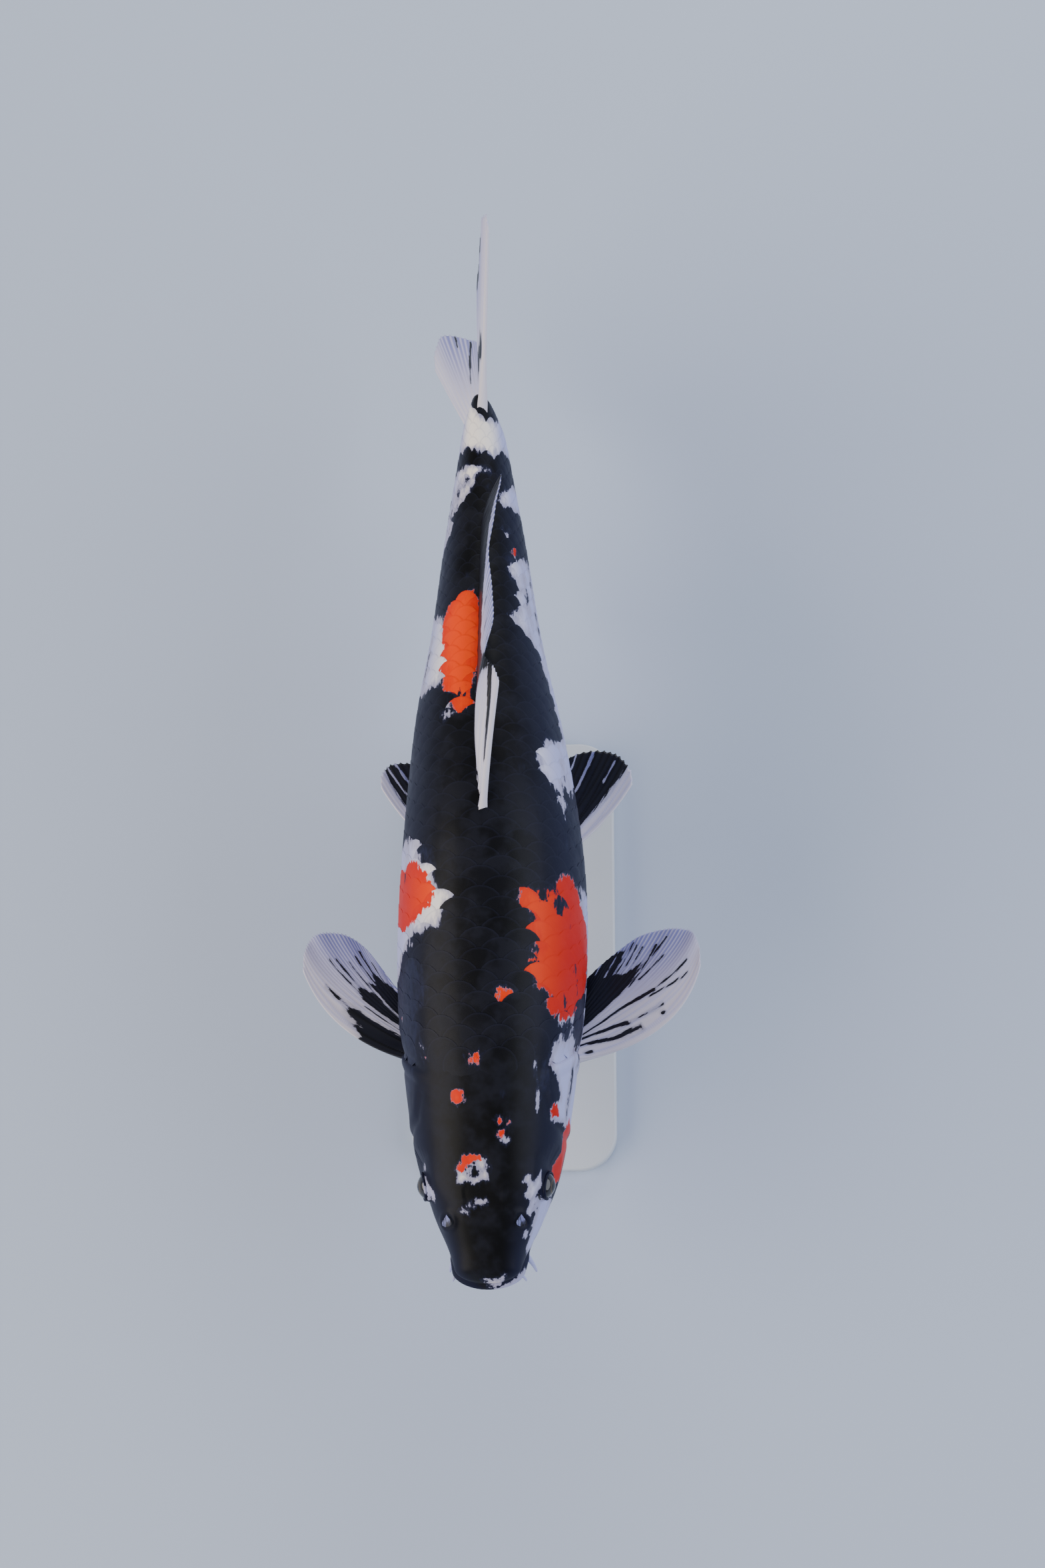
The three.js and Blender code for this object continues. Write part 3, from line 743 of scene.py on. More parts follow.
# %% [markdown]
# ### The face
# The head is sculpted by sliding skin points in or out along their normals. Each
# feature is a groove, roll or step that depends on how far a point is from a line on
# the side of the head: the mouth's slit with its two lips, the edge of the gill cover
# with the step down behind it, the creases of the cheek, the nostrils and the chin.
# The eye's socket is cut by pushing points inside the eyeball.

# %% Lines of the face
GILL_EDGE = law([-90, -56, -34, -6, 24, 48, 90], [84, 98, 119, 126, 115, 103, 99])
MOUTH_LINE = law([0, 8, 18], [-14.5, -15.5, -20])
MOUTH_CORNER = (19, -21)
NOSTRIL_ALONG = 33
NOSTRIL_ACROSS = 20
# each crease: rise (below zero for a groove), width, least distance aside, and its line
CREASES = [
    (-0.8, 2.4, 0, [(98, 30), (86, 22), (80, 2), (80, -22), (86, -42), (96, -54)]),
    (0.5, 4.0, 0, [(103, 30), (91, 22), (85, 2), (85, -22), (91, -42), (101, -54)]),
    (-0.4, 1.8, 0, [(86, -30), (100, -26), (118, -28)]),
    (-0.5, 2.0, 12, [(20, -22), (30, -14), (44, -9), (58, -9), (68, -4)]),
    (-0.5, 1.8, 4, [(24, -22), (30, -34), (33, -52), (32, -70)]),
]
# each lip roll or groove: height over the mouth's slit, rise and width
LIPS = [(3.0, 1.3, 2.0), (-3.2, 1.4, 2.2), (0, -2.6, 0.95), (7.2, -0.8, 1.3), (-7.6, -0.7, 1.5)]
print("the gill cover reaches", round(float(GILL_EDGE(-6))), "mm behind the snout")

# %% Relief of the head
def gill_step(along, up):
    """The rolled edge of the gill cover, its membrane and the step down behind it."""
    behind = (along - GILL_EDGE(up)) * 0.9  # from the edge, minus ahead of it
    drop = 2.3 * ease(-0.4, 1.1, behind) * np.exp(-np.clip(behind, 0, None) / 6)
    step = 0.7 * hump(behind + 2.8, 2.4) - drop - 0.4 * hump(behind + 7.5, 1.1)
    return step * (1 - ease(26, 40, up))  # it fades towards the nape


def head_relief(points):
    """How far the head's skin moves outwards at each point, in millimetres."""
    across, along, up = points.T
    side = np.abs(across - sway(along))
    relief = gill_step(along, up)
    for rise, width, aside, line in CREASES:
        relief += rise * hump(distance_to_line(along, up, line), width) * (side >= aside)
    at_mouth = 1 - ease(15, 21, along)
    for height, rise, width in LIPS:
        relief += at_mouth * rise * hump(up - MOUTH_LINE(along) - height, width)
    relief -= 1.2 * hump(np.hypot(along - MOUTH_CORNER[0], up - MOUTH_CORNER[1]), 2.2)
    nostril = np.hypot(along - NOSTRIL_ALONG, side - NOSTRIL_ACROSS) + 99 * (up < 0)
    relief += 0.9 * hump(nostril - 3.9, 1.4) - 1.8 * hump(nostril, 2.3)
    # a low ridge over each eye, and the flat forehead between them
    relief += 1.2 * hump(np.hypot((along - 52) / 1.6, up - 17), 6.5) * (side > 10)
    relief -= 0.6 * hump(np.hypot((along - 52) / 2.2, side), 10) * (up > 0)
    return relief * (1 - ease(132, 145, along))


slit = np.array([[sway(5) + 18, 5, MOUTH_LINE(5)]], float)
print("the mouth's slit is", -head_relief(slit).round(1)[0], "mm deep")

# %% Eye sockets
SIDES = ((1, "left"), (-1, "right"))
EYE_RADIUS = 9
EYE_ALONG = 53
EYE_UP = 6
EYE_REACH = 37
EYE_OPENING = math.radians(52)  # half the angle of the ball that shows
LID_CLEARANCE = 0.35
SOCKET_DEPTH = 1.9


def eye_middle(side):
    return np.array([sway(EYE_ALONG) + side * (EYE_REACH - EYE_RADIUS), EYE_ALONG, EYE_UP])


def eye_axis(side):
    """Eyes look outwards, a little forwards and up."""
    axis = np.array([side, -0.16, 0.2])
    return axis / np.linalg.norm(axis)


def open_sockets(points):
    """Pushes skin inside the eyeball over the part that shows, with a soft rim round it."""
    for side, _ in SIDES:
        away = points - eye_middle(side)
        reach = np.linalg.norm(away, axis=1)
        off_axis = np.arccos(np.clip(away @ eye_axis(side) / reach, -1, 1))
        inside = 1 - ease(EYE_OPENING - 0.03, EYE_OPENING + 0.03, off_axis)
        wanted = EYE_RADIUS + LID_CLEARANCE - SOCKET_DEPTH * inside
        hold = 1 - ease(EYE_OPENING + 0.12, EYE_OPENING + 0.62, off_axis)
        near = (reach < 22) & (away @ eye_axis(side) > 0)
        hold = np.where(near, hold, 0)[:, None]
        points = points + hold * away * ((wanted / reach)[:, None] - 1)
    return points


print("the left eye's middle:", eye_middle(1).round(1))

# %% The skin's mesh
SNOUT_SHARE, HEAD_SHARE, TAIL_SHARE = 0.045, 0.42, 0.975  # of the way from pole to pole
HEAD_END = 132
DEEPEST_CREASE = 2.2
skin, pole_share, pole_angle = new_sphere(segments=224, rings=300)
skin_along = np.interp(pole_share, [0, SNOUT_SHARE, HEAD_SHARE, TAIL_SHARE, 1],
                       [0, SNOUT_ROUNDING, HEAD_END, BODY_END - TAIL_ROUNDING, BODY_END])
snout_turn = 0.5 * math.pi * pole_share / SNOUT_SHARE
tail_turn = 0.5 * math.pi * (1 - pole_share) / (1 - TAIL_SHARE)
skin_along = np.where(pole_share < SNOUT_SHARE,
                      SNOUT_ROUNDING * (1 - np.cos(snout_turn)), skin_along)
skin_along = np.where(pole_share > TAIL_SHARE,
                      BODY_END - TAIL_ROUNDING * (1 - np.cos(tail_turn)), skin_along)
skin_turn = turn_at(skin_along, 0.25 - pole_angle / (2 * math.pi))
bare_skin = skin_at(skin_along, skin_turn)
relief = head_relief(bare_skin)
skin_points = bare_skin + skin_normal(skin_along, skin_turn) * (relief - COAT_DEPTH)[:, None]
write_points(skin, to_model(open_sockets(skin_points)))
# painted shade: the deeper a groove of the face, the darker its skin, up to DEEPEST_CREASE mm
crease = np.clip(-relief / DEEPEST_CREASE, 0, 1) ** 1.5 * 0.8
store(skin, crease=crease, **pattern(skin_along, skin_turn))
finish_piece(skin, "koi_skin", SKIN)
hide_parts("head", "lower_jaw", "gill_cover_left", "gill_cover_right",
            "trunk_front", "trunk_rear", "tail_stem")

# %% [markdown]
# ## Scales
# A koi carries about 38 scales along each side and some 32 rows of them round its body.
# Each lies flat in a pocket of skin and its free rear edge covers the front of the next.
# One scale is a flattened sphere with few faces: its upper half is the plate, and its
# lower half the rim and the underside. An array modifier makes as many copies as there
# are seats, and every copy is then bent to the body at its own seat.

# %% Where the scales sit
SCALE_ROWS = 32
FIRST_SCALE, LAST_SCALE = 103.0, 509
BEHIND_GILL = 5
scale_pitch = law([100, 500], [11.5, 9])
half_steps = [FIRST_SCALE]
while half_steps[-1] < LAST_SCALE:
    half_steps.append(half_steps[-1] + float(scale_pitch(half_steps[-1])) / 2)
seats = []
for row in range(SCALE_ROWS):
    places = np.array(half_steps[row % 2::2])
    heights = skin_at(places, turn_at(places, row / SCALE_ROWS))[:, 2]
    places = places[places > GILL_EDGE(heights) + BEHIND_GILL]
    seats += [(place, row / SCALE_ROWS, row) for place in places]
seats = np.array(seats)
print(len(seats), "scales in", SCALE_ROWS, "rows")

# %% The form of one scale
SCALE_FRONT, SCALE_REAR = 0.6, 0.95  # reach from the seat, as a share of the pitch
ROOT_HEIGHT, TIP_HEIGHT, RIM, CROWN = -0.3, 0.75, 0.3, 0.3  # mm
OVERLAP = 1.04  # of the room that a scale has round the body
SCALE_SEGMENTS, SCALE_RINGS = 14, 4


def scale_form(down, angle):
    """A sphere's rings as plate, edge and rim: (radius, bearing from the rear, under or not)."""
    radius = np.interp(down, [0, 0.25, 0.5, 0.75, 1], [0, 0.6, 1, 0.985, 0])
    # more of the segments go to the free rear half, which shows, than to the front
    half = SCALE_SEGMENTS / 2
    step = np.round(angle * half / math.pi)
    bearing = np.interp(np.abs(step), [0, half - 2, half], [0, 90, 180])
    bearing = np.radians(np.sign(step) * bearing)
    return radius, bearing, down > 0.6


def scale_places(seats, radius, bearing, under):
    """How far back, round and up each point of each scale is from its seat, in millimetres."""
    pitch = scale_pitch(seats[:, :1])
    back = np.cos(bearing) * radius
    a = pitch * np.where(back > 0, SCALE_REAR, SCALE_FRONT) * back
    b = girth(seats[:, :1]) / SCALE_ROWS * OVERLAP * (np.sin(bearing) * radius)
    rise = (a / pitch + SCALE_FRONT) / (SCALE_FRONT + SCALE_REAR)
    height = ROOT_HEIGHT + (TIP_HEIGHT - ROOT_HEIGHT) * rise - RIM * under
    return a, b, height + CROWN * (1 - radius**2) * ~under


print("a scale is", round(float(scale_pitch(200)) * (SCALE_FRONT + SCALE_REAR), 1), "mm long")

# %% A map with a small patch for each scale, at its own place on the unwrapped skin
PATCH = 0.0015  # half the width of a patch
MAP_MARGIN = 0.01
SIDE_ROWS = (8, 24)  # the rows with the pores of the side line


def map_scales(coat, seats, radius, bearing):
    place, share = seats[:, :1], seats[:, 1:2]
    room = 1 - 2 * MAP_MARGIN
    map_u = share % 1 * room + MAP_MARGIN + PATCH * np.sin(bearing) * radius
    map_v = place / BODY_END * room + MAP_MARGIN + PATCH * np.cos(bearing) * radius
    corners = np.empty(len(coat.data.loops), int)
    coat.data.loops.foreach_get("vertex_index", corners)
    coat_map = coat.data.uv_layers[0]
    coat_map.name = "OFBake"
    coat_map.data.foreach_set("uv", np.stack([map_u.ravel(), map_v.ravel()], -1)[corners].ravel())


print("each patch is", 2 * PATCH, "of the map wide")

# %% One coat of scales for each side
SCALES_APART = (0, 0, 3)  # so that no two copies touch before they are sent to their seats
SMOOTH_SCALES_UNDER = math.radians(38)
OWN_SHARE = 0.6  # of the pattern that a scale takes point by point


def scale_coat(name, seats):
    coat, down, angle = new_sphere(segments=SCALE_SEGMENTS, rings=SCALE_RINGS)
    bpy.ops.object.modifier_add(type="ARRAY")
    array = coat.modifiers[-1]
    array.count = len(seats)
    array.use_relative_offset = False
    array.use_constant_offset = True
    array.constant_offset_displace = SCALES_APART
    bpy.ops.object.modifier_apply(modifier=array.name)
    radius, bearing, under = scale_form(down, angle)
    a, b, height = scale_places(seats, radius, bearing, under)
    place, share, row = (column[:, None] for column in seats.T)
    along = np.clip(place + a, 1, BODY_END - 1).ravel()
    turn = turn_at(along, (share + b / girth(place)).ravel())
    skin_place = skin_at(along, turn)
    lift = height.ravel() + np.minimum(head_relief(skin_place), 0) - COAT_DEPTH
    write_points(coat, to_model(skin_place + skin_normal(along, turn) * lift[:, None]))
    bpy.ops.object.shade_smooth_by_angle(angle=SMOOTH_SCALES_UNDER)
    # each scale follows the pattern at its points and, as a whole, near its middle
    middle = seats[:, 0] + 0.35 * scale_pitch(seats[:, 0])
    whole = pattern(middle, turn_at(middle, seats[:, 1]))
    fields = pattern(along, turn)
    for key in ("white", "orange", "grey"):
        shared = np.repeat(whole[key], len(down))
        fields[key] = OWN_SHARE * fields[key] + (1 - OWN_SHARE) * shared
    fields["tone"] = np.repeat(random.random(len(seats)), len(down))
    fields["pored"] = np.repeat(np.isin(seats[:, 2], SIDE_ROWS) * 1.0, len(down))
    fields["edge"] = np.tile(radius, len(seats))
    store(coat, local_back=a.ravel(), local_round=b.ravel(), **fields)
    map_scales(coat, seats, radius, bearing)
    finish_piece(coat, name, SCALE_SKIN)


scale_coat("scales_left", seats[seats[:, 2] < SCALE_ROWS / 2])
scale_coat("scales_right", seats[seats[:, 2] >= SCALE_ROWS / 2])

# %% [markdown]
# ## Fins
# A fin is a fan of bony rays with a thin skin between them. Each ray forks once on its
# way out, the leading one is the stoutest, and all are sunk in flesh at the root. A fin
# could be cut from a lofted sheet. Here it is a flat grid that is sent to a bowed
# surface between three curves: the root, the bend and the tip. A solidify modifier then
# gives every point its own thickness, so rays stand up as ridges.

# %% Colours, masks and layers of the fins
FIN_COLOURS = {
    # outer membrane is painted blue light, as if seen through the thin membrane
    "membrane": "#d6d0dc", "membrane in painted blue light": "#7478b4", "bone": "#bfbedc", "smoke": "#74788e",
    "black": "#1c1d27", "black bone": "#101014",
}
# result, mask, the colour under it and the colour over it
FIN_LAYERS = [
    # painted blue light through the thin outer membrane, away from the root and the leading ray
    ("pale", "outward", "membrane", "membrane in painted blue light"),
    ("pale", "ray", "pale", "bone"),
    ("pale", "haze", "pale", "smoke"),
    ("black", "ray", "black", "black bone"),
    ("fin", "mark", "pale", "black"),
]
# mask: the depths in black where it starts and ends, and what it says there
FIN_MASKS = {"mark": (-0.35, 0.35, 0, 1), "haze": (-3.0, 0.4, 0, 0.45)}
FIN_FIELDS = ["dark", "ray", "fin_across", "fin_out", "outward"]
JOINT_WAVES = 4.8  # turns of a wave for each millimetre: the joints of a ray lie 1.3 mm apart
print(len(FIN_LAYERS), "layers on a fin")

# %% Finish of the fins
def fin_skin(name):
    """Wet membrane over bone: a thin gloss, with painted blue light showing through where the fin
    is thinnest.
    """
    material, tree = start_material(name)
    field = {key: add_node(tree, "Attribute", (), "Fac", attribute_name=key) for key in FIN_FIELDS}
    sheet = add_node(tree, "CombineXYZ", [field["fin_across"], field["fin_out"]])
    # streaks run out along the rays: 1.5 mm across them and 12 mm along them
    space = add_node(tree, "Mapping", {"Vector": sheet, "Scale": (0.7, 0.085, 1)})
    noise = {"Vector": space, "Scale": 1.0, "Detail": 4.0, "Roughness": 0.65}
    streaks = add_node(tree, "TexNoise", noise, "Fac")
    uneven = add_node(tree, "Math", [streaks, RAGGED, -RAGGED / 2], operation="MULTIPLY_ADD")
    dark = add_node(tree, "Math", [field["dark"], uneven], operation="ADD")
    for key, ramp in FIN_MASKS.items():
        field[key] = add_node(tree, "MapRange", [dark, *ramp], interpolation_type="SMOOTHSTEP")
    paint = {key: colour(code) for key, code in FIN_COLOURS.items()}
    for result, key, under, over in FIN_LAYERS:
        mix = {0: field[key], 6: paint[under], 7: paint[over]}
        paint[result] = add_node(tree, "Mix", mix, 2, data_type="RGBA")
    joints = add_node(tree, "Math", [field["fin_out"], JOINT_WAVES], operation="MULTIPLY")
    joints = add_node(tree, "Math", [joints], operation="SINE")
    joints = add_node(tree, "Math", [joints, field["ray"]], operation="MULTIPLY")
    roughness = add_node(tree, "MapRange", [streaks, 0, 1, 0.3, 0.5])
    return end_material(material, {
        "Base Color": paint["fin"], "Roughness": roughness, "IOR": 1.4,
        "Specular IOR Level": 0.25, "Coat Weight": 0.15, "Coat Roughness": 0.2, "Coat IOR": 1.38,
    }, joints, strength=0.3)


FIN_SKIN = fin_skin("wet_fin_skin")

# %% [markdown]
# ### Shapes and marks of the fins
# The guides are places on the fish (along, across, up), from the front of each fin to
# its rear. Marks are outlines and streaks on the spread fin: the first number counts
# from the leading ray (0) to the last (1), and the second from the root (0) to the edge
# (1). Streaks end with half their width in millimetres. Black marks are laid first, and
# white ones over them.

# %% Dorsal and anal fins
FINS = {}
FINS["dorsal_fin"] = {
    "roots": [(238, 4.5, 62), (262, 3.4, 62), (300, 1.4, 56), (350, -0.2, 45), (395, -1.3, 35),
              (426, -2, 29)],
    "bends": [(266, 10, 94), (285, 0, 90), (325, 1, 80), (366, 1, 62), (408, 1, 52),
              (440, 2, 44)],
    "tips": [(310, 18, 107), (322, 10, 99), (354, 11.5, 83), (388, 8, 67), (424, 9, 57),
             (455, 13, 50)],
    "root_thickness": 4.5, "rays": 21, "rows": 60, "ripple": 1.2, "lead": 3.6,
    "black": [
        [(0.2, -0.1), (0.22, 0.3), (0.24, 0.45), (0.235, 0.67), (0.215, 0.78), (0.19, 0.9),
         (0.13, 0.98), (0.16, 1.08), (0.21, 1.03), (0.24, 0.92), (0.28, 0.86), (0.36, 0.7),
         (0.44, 0.56), (0.5, 0.54), (0.56, 0.6), (0.6, 0.7), (0.64, 0.83), (0.69, 0.86),
         (0.74, 0.82), (0.79, 0.83), (0.83, 0.89), (0.88, 0.93), (1, 1), (1.1, 1.04), (1.1, -0.1)],
    ],
    "black_streaks": [
        [(0.035, 0.46), (0.042, 0.58), (0.055, 0.75), (0.09, 0.9), (0.115, 1), 3.6],
        [(0.33, 0.8), (0.36, 0.98), 0.5], [(0.42, 0.6), (0.45, 0.9), 0.5],
        [(0.52, 0.62), (0.55, 0.95), 0.5], [(0.62, 0.62), (0.66, 0.9), 0.6],
        [(0.05, 0.09), (0.07, 0.11), 2.2], [(0.14, 0.12), (0.16, 0.16), 1.6],
    ],
}
FINS["anal_fin"] = {
    "roots": [(386, -1, -38), (398, -1.3, -36), (410, -1.6, -33), (420, -1.8, -31)],
    "bends": [(404, -1, -72), (412, -1.4, -68), (424, -2, -58), (434, -2.4, -47)],
    "tips": [(436, -1, -89), (447, -2, -83), (453, -3, -69), (456, -4, -55)],
    "root_thickness": 4, "rays": 8, "rows": 50, "ripple": 0.5,
    "black": [[(0.1, -0.1), (0.2, 0.4), (0.5, 0.3), (0.8, 0.45), (0.95, -0.1)]],
    "black_streaks": [[(0.3, 0.3), (0.3, 0.7), 0.5], [(0.7, 0.3), (0.72, 0.8), 0.5]],
}
print("rays of the dorsal fin:", FINS["dorsal_fin"]["rays"])

# %% Lobes of the tail
FINS["tail_fin_upper"] = {
    "roots": [(496, -2, 26), (502, -3, 21), (505, -3.4, 12), (507, -3.4, 1)],
    "bends": [(534, 2.3, 54), (542, -1.6, 42), (541, -6, 22), (536, -6, 2)],
    "tips": [(602, 7.4, 88), (600, 2, 76), (583, -3.2, 42), (566, -7, 1.2)],
    "root_thickness": 5, "flesh_end": 0.48, "rays": 10, "rows": 90, "ripple": 0.8, "lead": 3,
    "black": [
        [(0.16, 0.4), (0.22, 0.49), (0.28, 0.44), (0.36, 0.53), (0.43, 0.46), (0.5, 0.55),
         (0.57, 0.46), (0.66, 0.53), (0.75, 0.4), (0.8, 0.26), (0.76, 0.1), (0.62, 0.1),
         (0.6, 0.26), (0.52, 0.35), (0.43, 0.31), (0.36, 0.37), (0.27, 0.34)],
        [(0.36, 1.05), (0.38, 0.92), (0.5, 0.93), (0.62, 0.9), (0.68, 1.05)],
    ],
}
FINS["tail_fin_lower"] = {
    "roots": [(507, -3.4, -1), (505, -3.4, -12), (502, -3, -21), (496, -2, -26)],
    "bends": [(536, -5, -2), (541, -9, -20), (544, -18, -40), (538, -23, -51)],
    "tips": [(566, -6, -1.2), (584, -15, -28), (606, -38, -60), (598, -48, -80)],
    "root_thickness": 7, "flesh_end": 0.4, "rays": 10, "rows": 90, "ripple": 0.8,
    "leading_last": True,
    "black_streaks": [
        [(0.43, 0.74), (0.36, 0.97), 1.1], [(0.48, 0.6), (0.43, 0.74), 0.6],
        [(0.53, 0.91), (0.53, 0.99), 0.7],
    ],
}
print("tip of the tail at", FINS["tail_fin_upper"]["tips"][0][0], "mm")

# %% Pectoral fins
PECTORAL = {"root_thickness": 6, "rays": 17, "rows": 80, "ripple": 1.3, "fanned": True}
FINS["pectoral_fin_left"] = {
    **PECTORAL,
    "roots": [(127, 40, -40), (131, 38, -43), (136, 36, -46), (141, 33, -49)],
    "bends": [(134, 112, -35), (150, 92, -33), (160, 66, -41), (160, 44, -47)],
    "tips": [(186, 121, -26), (201, 113, -27), (199, 86, -33), (176, 52, -42)],
    "black": [
        [(0.47, -0.1), (0.48, 0.66), (0.5, 0.7), (0.52, 0.79), (0.56, 0.74), (0.6, 0.7),
         (0.7, 0.72), (0.73, 0.94), (0.8, 0.97), (0.86, 1.05), (1.1, 1.05), (1.1, -0.1)],
    ],
    "black_streaks": [
        [(0.27, 0.16), (0.285, 0.44), (0.22, 0.62), 1.7], [(0.22, 0.62), (0.18, 0.87), 0.5],
        [(0.18, 0.16), (0.105, 0.39), 1.3], [(0.105, 0.39), (0.08, 0.6), 0.3],
        [(0.107, 0.11), (0.062, 0.28), (0.05, 0.43), 0.85],
        [(0.035, 0.12), (0.035, 0.145), 0.8], [(0.047, 0.565), (0.047, 0.58), 0.6],
        [(0.46, 0.6), (0.51, 0.9), 0.6], [(0.49, 0.82), (0.47, 0.95), 0.5],
        [(0.43, 0.66), (0.40, 0.83), 0.6], [(0.19, 0.58), (0.1, 0.83), 0.4],
        [(0.57, 0.68), (0.6, 0.9), 0.4], [(0.62, 0.68), (0.65, 0.93), 0.45],
        [(0.67, 0.7), (0.69, 0.96), 0.45],
    ],
    "white_streaks": [[(0.78, 0.74), (0.79, 1), 0.5], [(0.9, 0.88), (0.9, 1), 0.5]],
}
FINS["pectoral_fin_right"] = {
    **PECTORAL,
    "roots": [(127, -35, -40), (131, -33, -43), (136, -31, -45.5), (141, -28.5, -48)],
    "bends": [(138, -96, -36), (154, -80, -34), (162, -61, -40), (160, -44, -46)],
    "tips": [(186, -110, -26), (202, -101, -27), (199, -78, -33), (171, -55, -41)],
    "black": [
        [(-0.1, -0.1), (-0.1, 0.42), (0.02, 0.4), (0.04, 0.46), (0.1, 0.58), (0.12, 0.5),
         (0.12, -0.1)],
        [(0.25, -0.1), (0.25, 0.54), (0.3, 0.6), (0.36, 0.63), (0.4, 0.58), (0.44, 0.56),
         (0.44, -0.1)],
        [(0.48, -0.1), (0.48, 0.64), (0.55, 0.62), (0.62, 0.75), (0.7, 0.68), (0.8, 0.7),
         (0.9, 0.62), (1.1, 0.66), (1.1, -0.1)],
    ],
    "black_streaks": [
        [(0.1, 0.5), (0.1, 0.75), 0.35], [(0.19, 0.02), (0.19, 0.5), 0.3],
        [(0.3, 0.55), (0.3, 0.84), 0.4], [(0.36, 0.6), (0.36, 0.83), 0.4],
        [(0.45, 0.5), (0.46, 0.8), 0.35], [(0.55, 0.6), (0.55, 0.84), 0.6],
        [(0.62, 0.7), (0.62, 0.9), 0.7], [(0.7, 0.66), (0.71, 0.86), 0.5],
    ],
}
print("rays of a pectoral fin:", PECTORAL["rays"])

# %% Pelvic fins
PELVIC = {"root_thickness": 5, "rays": 9, "rows": 60, "ripple": 0.8}
FINS["pelvic_fin_left"] = {
    **PELVIC,
    "roots": [(245, 22, -61), (249, 20, -62), (253, 17, -63), (257, 14, -63)],
    "bends": [(265, 62, -61), (276, 50, -62), (284, 34, -65), (284, 22, -67)],
    "tips": [(302, 84, -56), (318, 70, -57), (318, 46, -61), (298, 24, -67)],
    "black": [[(0.11, -0.1), (0.2, 0.5), (0.13, 1.05), (1.1, 1.05), (1.1, -0.1)]],
    "white_streaks": [
        [(0.5, 0.62), (0.5, 1), 0.7], [(0.28, 0.8), (0.28, 0.96), 0.6],
        [(0.64, 0.84), (0.64, 1), 0.35], [(0.8, 0.86), (0.8, 1), 0.35],
    ],
}
FINS["pelvic_fin_right"] = {
    **PELVIC,
    "roots": [(245, -14, -61), (249, -12, -62), (253, -9, -63), (257, -6, -63)],
    "bends": [(266, -52, -62), (276, -44, -64), (284, -30, -67), (284, -16, -68)],
    "tips": [(304, -73, -57), (315, -64, -59), (313, -41, -63), (296, -18, -68)],
    "black": [[(0.17, -0.1), (0.17, 0.9), (0.22, 1.05), (1.1, 1.05), (1.1, -0.1)]],
    "white_streaks": [
        [(0.42, 0.66), (0.36, 1), 0.6], [(0.3, 0.6), (0.26, 1), 0.6], [(0.56, 0.8), (0.55, 1), 0.5],
        [(0.7, 0.84), (0.7, 1), 0.4], [(0.86, 0.86), (0.86, 1), 0.4],
    ],
}
print(len(FINS), "fins")

# %% The sheet of a fin
# how far the rays of a fanned fin are gathered behind its leading ray at the root
FAN_SHIFT = law([0, 0.1, 0.2, 0.35, 0.5, 1], [0, 0.3, 0.36, 0.28, 0.18, 0])
NUDGE = 0.01


def fin_guides(plan):
    """The root, bend and tip of a fin as curves of (across, along, up)."""
    guides = [np.array(plan[key], float)[:, (1, 0, 2)] for key in ("roots", "bends", "tips")]
    return [law(np.linspace(0, 1, len(places)), places) for places in guides]


def sheet_point(guides, u, v):
    root, bend, tip = (guide(u) for guide in guides)
    v = v[:, None]
    return (1 - v) ** 2 * root + 2 * v * (1 - v) * bend + v * v * tip


def sheet_normal(guides, u, v):
    ahead, behind = np.maximum(u - NUDGE, 0), np.minimum(u + NUDGE, 1)
    aside = sheet_point(guides, behind, v) - sheet_point(guides, ahead, v)
    outward = sheet_point(guides, u, v + NUDGE) - sheet_point(guides, u, v - NUDGE)
    normal = np.cross(aside, outward)
    return normal / np.maximum(np.linalg.norm(normal, axis=1, keepdims=True), 1e-9)


print("the dorsal fin's front starts at", fin_guides(FINS["dorsal_fin"])[0](0.0))

# %% Rays, rim and thickness of a fin
THICKEST = 6  # mm, where the flesh of a root stops growing
THINNEST = 0.46
NO_FLESH = 0.5


def rays_and_reach(plan, lead, v):
    """1 along each ray and 0 between rays, and how far out each place goes."""
    fork = 0.24 * ease(0.35, 0.8, v)  # a ray parts in two beyond half way
    ray = hump(np.abs((lead * plan["rays"]) % 1 - 0.5) - fork, 0.11)
    # the rim is rounded at both corners and notched between the rays
    cut = 0.05 * hump(lead, 0.05) + 0.06 * hump(1 - lead, 0.06) + 0.013 * (1 - ray)
    return ray, v * (1 - cut * v**3)


def fin_thickness(plan, lead, v, ray):
    """Flesh at the root, ridges along the rays, and a stout leading ray, in millimetres."""
    fleshy = (1 - ease(-0.05, plan.get("flesh_end", 0.24), v)) ** 1.5
    stout = np.sqrt(1 - ease(0, 0.06, lead)) * plan.get("lead", 2) * (1 - 0.65 * v)
    total = THINNEST + (plan["root_thickness"] - NO_FLESH) * fleshy + ray * (0.75 - 0.5 * v) + stout
    return np.minimum(total * (1 - 0.35 * ease(0.97, 1, v)), THICKEST)


print("membranes are", THINNEST, "mm thick")

# %% Marks of a fin
SHARP = 2.2  # how much faster depth grows in a streak than in a patch
OUTSIDE = 20.0  # mm, as far out of a mark as counts


def line_length(points):
    return np.linalg.norm(np.diff(points, axis=0), axis=1).sum()


def fin_marks(plan, r, v, width, length):
    """How deep each point of a fin lies in black, in millimetres."""
    dark = np.full(len(r), -OUTSIDE)
    x, y = r * width, v * length
    for outline in plan.get("black", ()):
        corners = [(a * width, b * length) for a, b in outline]
        dark = np.maximum(dark, depth_in_outline(x, y, corners))
    for key in ("black_streaks", "white_streaks"):
        for *places, half in plan.get(key, ()):
            places = [(a * width, b * length) for a, b in places]
            inside = SHARP * (half - distance_to_line(x, y, places))
            dark = np.maximum(dark, inside) if key == "black_streaks" else np.minimum(dark, -inside)
    return np.clip(dark, -OUTSIDE, OUTSIDE)


print("streaks:", sum(len(plan.get("black_streaks", ())) for plan in FINS.values()))

